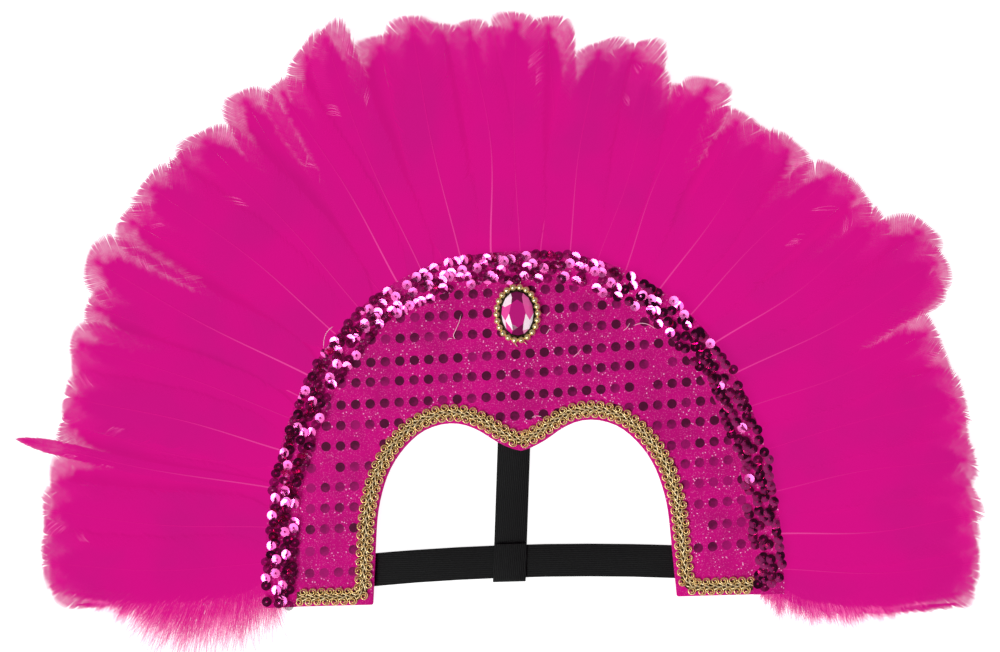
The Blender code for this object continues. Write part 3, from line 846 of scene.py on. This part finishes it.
def sequin_finish():
    """Clear-coated magenta foil, some of it thin enough to see through."""
    f = Finish("magenta_foil", metallic=1.0, roughness=0.07, coat_weight=1.0,
               coat_roughness=0.03, coat_ior=1.95)
    tone = f.tone()
    satin = f.tone("satin")
    foil = f.mix(tone, (0.88, 0.032, 0.46), (0.74, 0.020, 0.37))
    f.set("Base Color", f.mix(satin, foil, (0.50, 0.085, 0.29)))
    f.set("Roughness", 0.07 + satin * 0.26)
    f.set("Coat Weight", 1.0 - satin)
    f.set("Alpha", 0.98 - tone * 0.45)
    return f.material


def sequin_tilt(luck, run, white, pink):
    """Which way a sequin leans, and whether its foil is a satin one."""
    chance = luck.random()
    if chance < white + pink:
        angle = luck.normal(math.pi / 2, 0.7)
        reach = luck.normal(GLEAM_REACH, 0.02)
        return GLEAM_TILT + reach * np.array([math.cos(angle), math.sin(angle)]), chance > white
    tilt = -run[:2] * SEQUIN_LEAN + luck.normal(0, 0.12, 2)
    away = tilt - GLEAM_TILT
    distance = np.linalg.norm(away)
    return GLEAM_TILT + away * max(1.0, GLEAM_CLEAR / distance), False


def cloth_finish(name="glitter_cloth"):
    """Magenta knit, flecked with fine pale glitter, with a painted glow in its own colour."""
    f = Finish(name, roughness=0.8, specular_ior_level=0.05)
    place = f.place()
    cloud = f.noise(place, 60.0, 4.0)
    weave = f.noise(f.stretch(place, (1.0, 1.6, 1.0)), 900.0, 2.0)
    body = f.mix(cloud.rise(0.3, 0.7), (0.545, 0.0040, 0.196), (0.45, 0.0048, 0.162))
    cells = {"Vector": place, "Scale": 520.0, "Randomness": 1.0}
    gap = f.node("ShaderNodeTexVoronoi", {"feature": "F1"}, cells, "Distance")
    chosen = f.noise(place, 210.0, 0.0)
    drift = f.noise(place, 45.0, 1.0)
    fleck = (gap < 0.20) * chosen.rise(0.42, 0.56) * drift.rise(0.32, 0.52)
    dust = f.noise(place, 1500.0, 0.0).rise(0.62, 0.74)
    dyed = f.mix(dust * 0.22, body, (0.85, 0.22, 0.52))
    dyed = f.mix(fleck * 0.8, dyed, (0.92, 0.48, 0.72))
    # Painted glow: the knit glows in its own colour, so its shade stays light
    f.glow(dyed, CLOTH_GLOW)
    f.set("Roughness", 0.8 - fleck * 0.45)
    f.bump(weave, 0.0002, 0.5)
    return f.material


def add_sequin_band():
    luck = np.random.default_rng(5)
    cloth = ribbon("band_cloth", ARCH, 200, 4, BAND_WIDTH / 2 - 0.0004, BAND_CLOTH, 0.8)
    dress(cloth, cloth_finish("band_knit"), "sequins", "sequin_band")
    template = strip_template(len(SEQUIN_CUP) - 1, 14)
    points, _ = template
    angle = math.pi * (points[:, 0] + 1)
    rings, heights = np.array(SEQUIN_CUP).T
    share = np.interp(points[:, 1], np.linspace(0, 1, len(rings)), rings)
    cup = np.interp(share, rings, heights)
    round_cup = np.stack([share * np.cos(angle), share * np.sin(angle), cup], 1) * SEQUIN_RADIUS
    shapes, tone, satin = [], [], []
    for strand, offset in enumerate(SEQUIN_STRANDS):
        count = int(ARCH_LENGTH / SEQUIN_PITCH)
        step = (np.arange(count) + 0.35 + 0.5 * (strand % 2)) * SEQUIN_PITCH
        step = step + luck.normal(0, 0.0006, count)
        here, out = along_path(ARCH, step)
        white, pink = at_marks(GLEAMS[:, 1:], GLEAMS[:, 0], step / ARCH_LENGTH).T
        wander = 0.0010 * np.sin(step * 110 + strand * 2.1) + luck.normal(0, 0.0009, count)
        for k in range(count):
            if luck.random() < 0.05 + 0.13 * (here[k][0] > 0.03):
                continue
            run = np.array([out[k][1], -out[k][0], 0.0])
            tilt, is_satin = sequin_tilt(luck, run, white[k], pink[k])
            normal = np.array([*tilt, 1.0])
            normal /= np.linalg.norm(normal)
            across = np.cross(normal, run)
            across /= np.linalg.norm(across)
            along = np.cross(across, normal)
            centre = np.array(spot(*(here[k] + out[k] * (offset + wander[k])), TRIM_Z))
            centre[2] += BAND_CLOTH + 0.0013 + luck.uniform(-0.0002, 0.0004)
            turned = (
                round_cup[:, :1] * along + round_cup[:, 1:2] * across + round_cup[:, 2:] * normal
            )
            shapes.append(centre + turned)
            clear = luck.random()
            if here[k][0] > 0.06:
                clear = 0.5 * clear**3
            elif here[k][1] > 0.13:
                clear = 0.35 + 0.65 * clear
            tone.append(np.full(len(points), clear))
            satin.append(np.full(len(points), float(is_satin)))
    tones = {"tone": np.array(tone), "satin": np.array(satin)}
    piece = joined("sequins", template, np.array(shapes), None, tones)
    piece.data.shade_flat()
    dress(piece, sequin_finish(), "sequins", "sequin_band")


# Crown panel and its foil spots

SPOT_RADIUS = 0.0028
SPOT_PITCH = 0.0084
SPOT_ORIGIN = (-0.0015, 0.1393)
SPOT_ROWS = (
    0.0364, 0.0248, 0.0131, 0.0, -0.0114, -0.0239, -0.0357,
    -0.0475, -0.0598, -0.0712, -0.0832, -0.0952, -0.1079, -0.1205,
)
GEM_Y = ARCH_HEIGHT - 0.0273


def copy_of(node, name, edge=0.0, steps=2):
    """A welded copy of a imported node, its sharp folds rounded by the given width."""
    bm = bmesh.new()
    bm.from_mesh(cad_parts[node].data)
    bmesh.ops.remove_doubles(bm, verts=bm.verts, dist=1e-6)
    bmesh.ops.dissolve_limit(bm, angle_limit=math.radians(1), verts=bm.verts, edges=bm.edges)
    outward(bm)
    if edge:
        folds = [item for item in bm.edges if item.calc_face_angle(0.0) > math.radians(50)]
        bmesh.ops.bevel(
            bm, geom=folds, offset=edge, segments=steps, profile=0.5,
            affect="EDGES", material=-1, offset_type="OFFSET", clamp_overlap=True,
        )
    return shown(name, bm)


def inside(x, y, outline):
    """Whether a place is within a closed outline."""
    hit = False
    for point, before in zip(outline, outline[-1:] + outline[:-1]):
        if (point[1] > y) != (before[1] > y):
            cross = (before[0] - point[0]) * (y - point[1]) / (before[1] - point[1]) + point[0]
            hit ^= x < cross
    return hit


def spot_finish():
    """Maroon foil discs under the knit's thin net; their tone carries a painted shading gradient
    across each disc.
    """
    f = Finish("maroon_foil", metallic=0.2, roughness=0.4, specular_ior_level=0.12)
    tone = f.tone()
    place = f.place()
    cloud = f.noise(place, 420.0, 2.0)
    share = (tone + (cloud - 0.5) * 0.7).rise(0.0, 1.0)
    f.set("Base Color", f.mix(share, (0.100, 0.006, 0.042), (0.48, 0.008, 0.19)))
    f.bump(f.noise(place, 900.0, 2.0), 0.0001, 0.5)
    return f.material


def add_panel():
    panel = copy_of("crown_panel", "panel_cloth", 0.0007, 3)
    dress(panel, cloth_finish(), "spotted_cloth", "crown_panel")
    luck = random.Random(3)
    template = disc_template(18)
    points, _ = template
    here, out = along_path(ARCH, np.linspace(0, ARCH_LENGTH, 160))
    band = [tuple(point) for point in here - out * 0.0075]
    right = beside(window_line(), SPOT_RADIUS + 0.001)
    right = right[right[:, 0] > 0]
    window = [tuple(point) for point in right] + [(-x, y) for x, y in right[::-1]]
    window = [(window[0][0], -1.0)] + window + [(window[-1][0], -1.0)]
    shapes, tone = [], []
    for row in SPOT_ROWS:
        for column in range(-17, 18):
            x = SPOT_ORIGIN[0] + SPOT_PITCH * column * (1.0 if column < 0 else 0.985)
            y = SPOT_ORIGIN[1] + row + 0.040 * x + 0.115 * x * x
            x += 0.042 * row
            if not inside(x, y, band) or inside(x, y, window):
                continue
            on_leg = y < 0.085
            faint = 0.58 if on_leg else 0.2
            if luck.random() < (0.10 if on_leg else 0.02):
                continue
            level = min(1.0, max(0.0, luck.gauss(faint, 0.22)))
            centre = spot(x, y, PANEL_HIGH.z + 0.00006)
            shapes.append(np.array(centre) + points * SPOT_RADIUS)
            # Painted shading: each disc grows lighter towards its lower right, the same way on
            # every disc
            shade = level + 0.25 * (points[:, 0] * 0.5 - points[:, 1] * 0.5)
            tone.append(np.clip(shade, 0, 1))
    piece = joined("foil_spots", template, np.array(shapes), None, {"tone": np.array(tone)})
    dress(piece, spot_finish(), "spotted_cloth", "crown_panel")


# Gold gimp

BRAID_PITCH = 0.0051
BRAID_INSET = 0.0063
BRAID_FOOT_INSET = 0.0056
BRAID_TURN = 0.0058
BRAID_PEAK_SLOPE = 0.3
GAP = 0.0003
CORD_RADIUS = 0.00045
COIL_STATIONS = 17
COIL_TURNS = 1.6
COIL_RADIUS = 0.00248
COIL_WINDS_IN = 0.00184
COIL_OFFSET = 0.00282
COIL_LIFT = 0.0003
COIL_RISE = 0.00075
PLAIT_LENGTH = 0.0062
PLAIT_STATIONS = 9
PLAIT_LIFT = 0.00085
PLAIT_RISE = 0.0004


def braid_line():
    """The gimp's middle line: along a foot, up round the window and out again."""
    inset = beside(window_line(), BRAID_INSET)
    low = FOOT_Y + BRAID_FOOT_INSET
    inset = inset[(inset[:, 0] > 0) & (inset[:, 1] > low + BRAID_TURN)]
    middle = np.array([[0.0, inset[-1][1] - inset[-1][0] * BRAID_PEAK_SLOPE]])
    corner = np.array([inset[0][0], low])
    centre = corner + np.array([BRAID_TURN, BRAID_TURN])
    angles = np.linspace(math.pi, 1.5 * math.pi, 9)
    turn = centre + BRAID_TURN * np.stack([np.cos(angles), np.sin(angles)], 1)
    end = np.array([[ARCH_HALF_WIDTH - BAND_WIDTH / 2 - GAP, low]])
    right = np.concatenate([middle, inset[::-1], turn, end])
    left = right[1:][::-1] * (-1, 1)
    return np.concatenate([left, right])


def gold_finish(name, colour, pale, roughness, metallic=0.85):
    """Gold, from wound thread to polished beads, and the dark painted shade under and around them.
    """
    f = Finish(name, metallic=metallic, roughness=roughness)
    place = f.place()
    cloud = f.noise(place, 800.0, 2.0)
    f.set("Base Color", f.mix(cloud.rise(0.35, 0.7), colour, pale))
    f.bump(f.noise(place, 2600.0, 1.0), 0.0001, 0.6)
    return f.material


def add_gimp():
    luck = np.random.default_rng(8)
    path = braid_line()
    total = measured(path)[-1]
    base = TRIM_Z + CORD_RADIUS
    thread = gold_finish("gold_thread", (0.86, 0.54, 0.17), (1.0, 0.80, 0.38), 0.26, 0.45)
    bright = gold_finish("pale_gold_thread", (0.92, 0.68, 0.30), (1.0, 0.90, 0.58), 0.3, 0.4)
    count = round(total / BRAID_PITCH)
    coils = []
    turn_share = np.linspace(0.0, 1.0, COIL_STATIONS)
    for row, side in enumerate((-1, 1)):
        marks = (np.arange(count) + 0.25 + 0.5 * row) * total / count
        here, left = along_path(path, marks)
        for at, way in zip(here, left):
            run = np.array([way[1], -way[0]])
            size = 1 + luck.normal(0, 0.03)
            radius = (COIL_RADIUS - COIL_WINDS_IN * turn_share) * size
            angle = turn_share * 2 * math.pi * COIL_TURNS + luck.normal(0, 0.2)
            across = side * COIL_OFFSET - side * radius * np.cos(angle)
            along = radius * np.sin(angle) * 1.08
            x = at[0] + way[0] * across + run[0] * along
            y = at[1] + way[1] * across + run[1] * along
            coils.append(in_frame(x, y, base + COIL_RISE * turn_share + COIL_LIFT))
    piece = tubes("gimp_coils", np.array(coils), closed_ends(COIL_STATIONS, CORD_RADIUS), 4)
    dress(piece, thread, "gold_gimp", "gold_braid")

    strands = []
    share = np.linspace(0.0, 1.0, PLAIT_STATIONS)
    for side in (-1, 1):
        marks = (np.arange(count) + 0.25 + 0.25 * (side + 1)) * total / count
        for mark in marks:
            here, left = along_path(path, mark + share * PLAIT_LENGTH - 0.0034)
            across = side * (0.0024 * (1 - share) ** 1.3 - 0.00035)
            flat = here + left * across[:, None]
            z = base + PLAIT_LIFT + PLAIT_RISE * np.sin(math.pi * share)
            strands.append(in_frame(flat[:, 0], flat[:, 1], z))
    piece = tubes("gimp_plait", np.array(strands), closed_ends(PLAIT_STATIONS, CORD_RADIUS), 4)
    dress(piece, bright, "gold_gimp", "gold_braid")

    # A dark strip under the coils: painted shadow that fills the gaps between them
    shadow_fill = gold_finish("gimp_painted_shadow", (0.05, 0.026, 0.008), (0.16, 0.10, 0.03), 0.6)
    strip = ribbon("gimp_painted_shadow", path, 260, 1, 0.0030, 0.0003)
    dress(strip, shadow_fill, "gold_gimp", "gold_braid")


# Jewel

STONE_WIDTH = 0.0186
STONE_LENGTH = 0.0255
STONE_GLOW = 0.30
BEAD_RADIUS = 0.0019775
BEAD_COUNT = 22
BEAD_RING = 0.0053
CUP = (
    # width and length past the stone's, height
    (BEAD_RING, 0.0), (BEAD_RING, 0.0008), (0.0016, 0.0010), (0.0014, 0.0028),
    (0.0008, 0.0030), (0.0006, 0.0010),
)
STONE = (
    # shares of the width and the length, height, sides, turn
    (0.90, 0.90, 0.0013, 16, 0.0), (1.00, 1.00, 0.0020, 16, 0.0),
    (0.82, 0.82, 0.0033, 8, 0.5), (0.52, 0.64, 0.0042, 8, 0.0),
)


def oval(bm, width, length, height, sides, turn=0.0):
    """A ring round the jewel: a circle drawn out, turned by a share of a side."""
    place = (
        Matrix.Translation(spot(0.0, GEM_Y, TRIM_Z + height))
        @ Matrix.Diagonal((width / 2, length / 2, 1.0, 1.0))
        @ Matrix.Rotation(2 * math.pi * turn / sides, 4, "Z")
    )
    ring = bmesh.ops.create_circle(bm, segments=sides, radius=1.0, matrix=place)["verts"]
    return edges_of(ring)


def add_jewel():
    gold = gold_finish("polished_gold", (0.95, 0.75, 0.30), (1.0, 0.90, 0.52), 0.15, 0.65)
    dark = gold_finish("shaded_gold", (0.035, 0.022, 0.010), (0.10, 0.065, 0.025), 0.5)
    across, up = (STONE_WIDTH + BEAD_RING) / 2, (STONE_LENGTH + BEAD_RING) / 2
    angle = np.linspace(0.0, 2 * math.pi, 361)
    fine = np.stack([across * np.cos(angle), GEM_Y + up * np.sin(angle)], 1)
    marks = np.arange(BEAD_COUNT) / BEAD_COUNT * measured(fine)[-1]
    here, _ = along_path(fine, marks)
    bm = bmesh.new()
    for at in here:
        place = Matrix.Translation(spot(at[0], at[1], TRIM_Z + 0.0018))
        bmesh.ops.create_uvsphere(
            bm, u_segments=20, v_segments=12, radius=BEAD_RADIUS, matrix=place
        )
    dress(shown("jewel_beads", bm, 180), gold, "gold_metal", "gem_setting")

    bm = bmesh.new()
    edges = [
        oval(bm, STONE_WIDTH + past, STONE_LENGTH + past, height, 48) for past, height in CUP
    ]
    for near, far in zip(edges, edges[1:]):
        bmesh.ops.bridge_loops(bm, edges=near + far)
    bmesh.ops.edgeloop_fill(bm, edges=edges[-1])
    outward(bm)
    dress(shown("jewel_cup", bm), dark, "gold_metal", "gem_setting")

    bm = bmesh.new()
    for across, along, *rest in STONE:
        oval(bm, STONE_WIDTH * across, STONE_LENGTH * along, *rest)
    bmesh.ops.convex_hull(bm, input=bm.verts)
    loose = [edge for edge in bm.edges if not edge.link_faces]
    bmesh.ops.delete(bm, geom=loose, context="EDGES")
    bmesh.ops.dissolve_limit(bm, angle_limit=math.radians(1), verts=bm.verts, edges=bm.edges)
    # Each facet's tone is a painted reflection: a dark middle column between white and pink sides
    tones = []
    for face in bm.faces:
        middle = face.calc_center_median() - spot(0.0, GEM_Y, 0.0)
        tones.append(painted_facet_reflection(middle.x / (STONE_WIDTH / 2), middle.y / (STONE_LENGTH / 2)))
    piece = shown("jewel_stone", bm, 0.1)
    piece.data.shade_flat()
    layer = piece.data.attributes.new("tone", "FLOAT", "FACE")
    layer.data.foreach_set("value", tones)
    f = Finish("cut_stone", roughness=0.12, specular_ior_level=0.2)
    tone = f.tone()
    stops = (
        (0.0, (0.11, 0.006, 0.045)), (0.25, (0.36, 0.012, 0.15)),
        (0.5, (0.72, 0.006, 0.26)), (0.75, (0.80, 0.16, 0.42)), (1.0, (0.92, 0.80, 0.86)),
    )
    ramp = f.node("ShaderNodeValToRGB", {"stops": stops}, {"Fac": tone}, "Color")
    # Painted glow as well, so the stone's dark facets keep some light
    f.glow(ramp, STONE_GLOW)
    dress(piece, f.material, "pink_stone", "gem_stone")


def painted_facet_reflection(across, up):
    """The painted reflection in a facet: a dark column between bright sides."""
    if abs(across) < 0.32:
        return 0.30 if abs(up) < 0.4 else 0.04
    if across < 0:
        sides = ((0.45, 0.97), (-0.10, 0.60), (-0.55, 0.95), (-2.0, 0.45))
    else:
        sides = ((0.45, 0.70), (-0.15, 0.64), (-0.60, 1.00), (-2.0, 0.80))
    return next(tone for low, tone in sides if up > low)


# Elastic straps

def elastic_finish(name, turn):
    """Black woven elastic: fine ribs along it."""
    f = Finish(name, roughness=0.75, specular_ior_level=0.15)
    across = f.stretch(f.place(), (1.0, 1.0, 1.0), (0.0, 0.0, turn))
    split = f.node("ShaderNodeSeparateXYZ", None, {0: across}, "Y")
    ribs = (split * 5200.0).math("SINE")
    weave = f.noise(f.stretch(across, (0.4, 1.0, 1.0)), 2500.0, 1.0)
    shade = (ribs * 0.25 + weave).rise(0.2, 0.9)
    f.set("Base Color", f.mix(shade, (0.0045, 0.0052, 0.0052), (0.014, 0.015, 0.015)))
    f.bump(ribs * 0.5 + weave * 0.5, 0.00015, 0.8)
    return f.material


STRAPS = (
    # node, piece, weave, its turn in degrees
    ("back_strap", "back_elastic", "back_weave", 0.0),
    ("crown_strap", "crown_elastic", "crown_weave", 86.5),
)


def add_straps():
    for node, name, weave, turn in STRAPS:
        finish = elastic_finish(weave, math.radians(turn))
        dress(copy_of(node, name, 0.0003, 2), finish, "black_elastic", node)


# Loose threads on the panel and the band, as places on the drawing in millimetres
THREADS = (
    # height over the floor, then across and up for each place
    (7.4, (-112.6, 145.5), (-112.0, 152.0), (-109.8, 156.0), (-106.6, 158.2)),
    (7.0, (-32.6, 163.0), (-33.6, 158.6), (-36.4, 153.2), (-37.6, 150.6), (-36.0, 148.9)),
    (7.0, (-37.9, 149.3), (-40.0, 149.5), (-40.9, 148.0)),
    (7.4, (67.0, 154.0), (71.5, 155.6), (76.0, 154.3), (79.6, 151.8)),
    (8.6, (65.5, 165.0), (68.2, 167.2), (71.4, 169.6)),
    (6.9, (16.8, 161.0), (19.2, 163.2)), (6.9, (16.4, 150.4), (18.6, 153.6)),
    (6.9, (60.8, 151.0), (63.6, 153.2), (65.0, 155.6)),
    (6.9, (31.5, 136.5), (34.6, 139.0), (36.4, 141.4)),
    (6.9, (6.6, 102.4), (9.4, 103.4), (12.4, 102.8)),
)
GOLD_ENDS = (
    # places on the drawing in millimetres, from the jewel's edge outwards
    ((-2.6, 148.0), (-1.9, 145.6), (-0.2, 143.4)), ((2.6, 148.2), (3.6, 146.3), (5.4, 144.5)),
    ((-3.4, 178.0), (-3.9, 179.6), (-3.0, 181.4)), ((2.2, 178.2), (2.0, 180.0), (2.6, 181.6)),
)


def thread_paths(rows, height=None):
    """Smooth 3-D paths through given points, nine stations each."""
    paths = []
    for row in rows:
        level, points = (row[0], row[1:]) if height is None else (height, row)
        marks = np.linspace(0, len(points) - 1, 9)
        x = np.interp(marks, np.arange(len(points)), [p[0] for p in points]) / 1000
        y = np.interp(marks, np.arange(len(points)), [p[1] for p in points]) / 1000
        for line in (x, y):
            line[1:-1] = (line[:-2] + 2 * line[1:-1] + line[2:]) / 4
        z = level / 1000 + 0.0003 * np.sin(np.linspace(0, 7, 9) + points[0][0])
        paths.append(in_frame(x, y, z))
    return np.array(paths)


def add_threads():
    pale = Finish("pale_thread", roughness=0.5)
    place = pale.place()
    cloud = pale.noise(place, 300.0, 1.0)
    dyed = pale.mix(cloud, (0.86, 0.34, 0.56), (0.92, 0.66, 0.76))
    # Painted glow: the pale threads glow faintly in their own colour
    pale.glow((0.9, 0.45, 0.62), 0.2, dyed)
    paths = thread_paths(THREADS)
    piece = tubes("loose_threads", paths, closed_ends(9, 0.00020), 5)
    dress(piece, pale.material, "spotted_cloth", "crown_panel")
    gold = gold_finish("gold_ends", (0.80, 0.74, 0.36), (0.9, 0.9, 0.6), 0.4)
    paths = thread_paths(GOLD_ENDS, TRIM_Z * 1000 + 0.8)
    piece = tubes("gold_thread_ends", paths, closed_ends(9, 0.00028), 5)
    dress(piece, gold, "gold_metal", "gem_setting")


# Camera, light and ground

PHOTO_MM = 0.000578
PHOTO_ROLL = math.radians(1.55)
LENS_MM = 85.0
SENSOR_MM = 36.0
PHOTO_WIDTH = 1000
VIEW_CENTRE = (-0.01020, 0.15580)
VIEW_PLANE = 0.0075

BRIGHT_SIDE = (-0.6, -0.45, 0.65)
SKY = (
    # share towards the bright side, brightness
    (0.0, (0.17, 0.09, 0.13)), (0.22, (0.12, 0.06, 0.09)), (0.38, (0.009, 0.009, 0.009)),
    (0.90, (0.014, 0.014, 0.014)), (0.93, (1.0, 1.0, 1.0)), (1.0, (1.0, 1.0, 1.0)),
)
SKY_STRENGTH = 1.8
SUN_SIDE = (-0.55, -0.40, 0.95)
SUN_STRENGTH = 1.9
SUN_SPREAD = math.radians(32.0)
GROUND_LEVEL = -0.0002
GROUND_HALF = 3.0
GROUND_GLOW = 0.95


def add_camera():
    lens = bpy.data.cameras.new("view")
    lens.lens = LENS_MM
    lens.sensor_width = SENSOR_MM
    camera = linked("view", lens)
    away = PHOTO_WIDTH * PHOTO_MM * LENS_MM / SENSOR_MM
    camera.location = spot(VIEW_CENTRE[0], VIEW_CENTRE[1], VIEW_PLANE + away)
    camera.rotation_euler = (0.0, 0.0, -PHOTO_ROLL)
    bpy.context.scene.camera = camera


def add_sun():
    """A soft lamp up to the left, as in the photo's studio."""
    sun = bpy.data.lights.new("key", "SUN")
    sun.energy = SUN_STRENGTH
    sun.angle = SUN_SPREAD
    lamp = linked("key", sun)
    lamp.rotation_euler = Vector(SUN_SIDE).to_track_quat("Z", "Y").to_euler()


def add_ground():
    bm = bmesh.new()
    bmesh.ops.create_grid(bm, x_segments=1, y_segments=1, size=GROUND_HALF)
    bmesh.ops.translate(bm, verts=bm.verts, vec=(0.0, 0.0, GROUND_LEVEL))
    floor = shown("ground", bm)
    f = Finish("pale_ground", roughness=0.9, specular_ior_level=0.0)
    f.glow((1.0, 1.0, 1.0), GROUND_GLOW, (0.30, 0.30, 0.30))
    floor.data.materials.append(f.material)


def add_light():
    sky = Sky("studio")
    ray = sky.node("ShaderNodeTexCoord", None, None, "Generated")
    bright = Vector(BRIGHT_SIDE).normalized()
    towards = sky.node(
        "ShaderNodeVectorMath", {"operation": "DOT_PRODUCT"}, {0: ray, 1: bright}, "Value"
    )
    sky.set("Color", sky.node("ShaderNodeValToRGB", {"stops": SKY}, {"Fac": towards}, "Color"))
    sky.set("Strength", SKY_STRENGTH)
    add_sun()
    bpy.context.scene.view_settings.view_transform = "Standard"


for add in (
    add_camera, add_feathers, add_sequin_band, add_panel, add_gimp, add_jewel, add_straps,
    add_threads, add_ground, add_light,
):
    add()
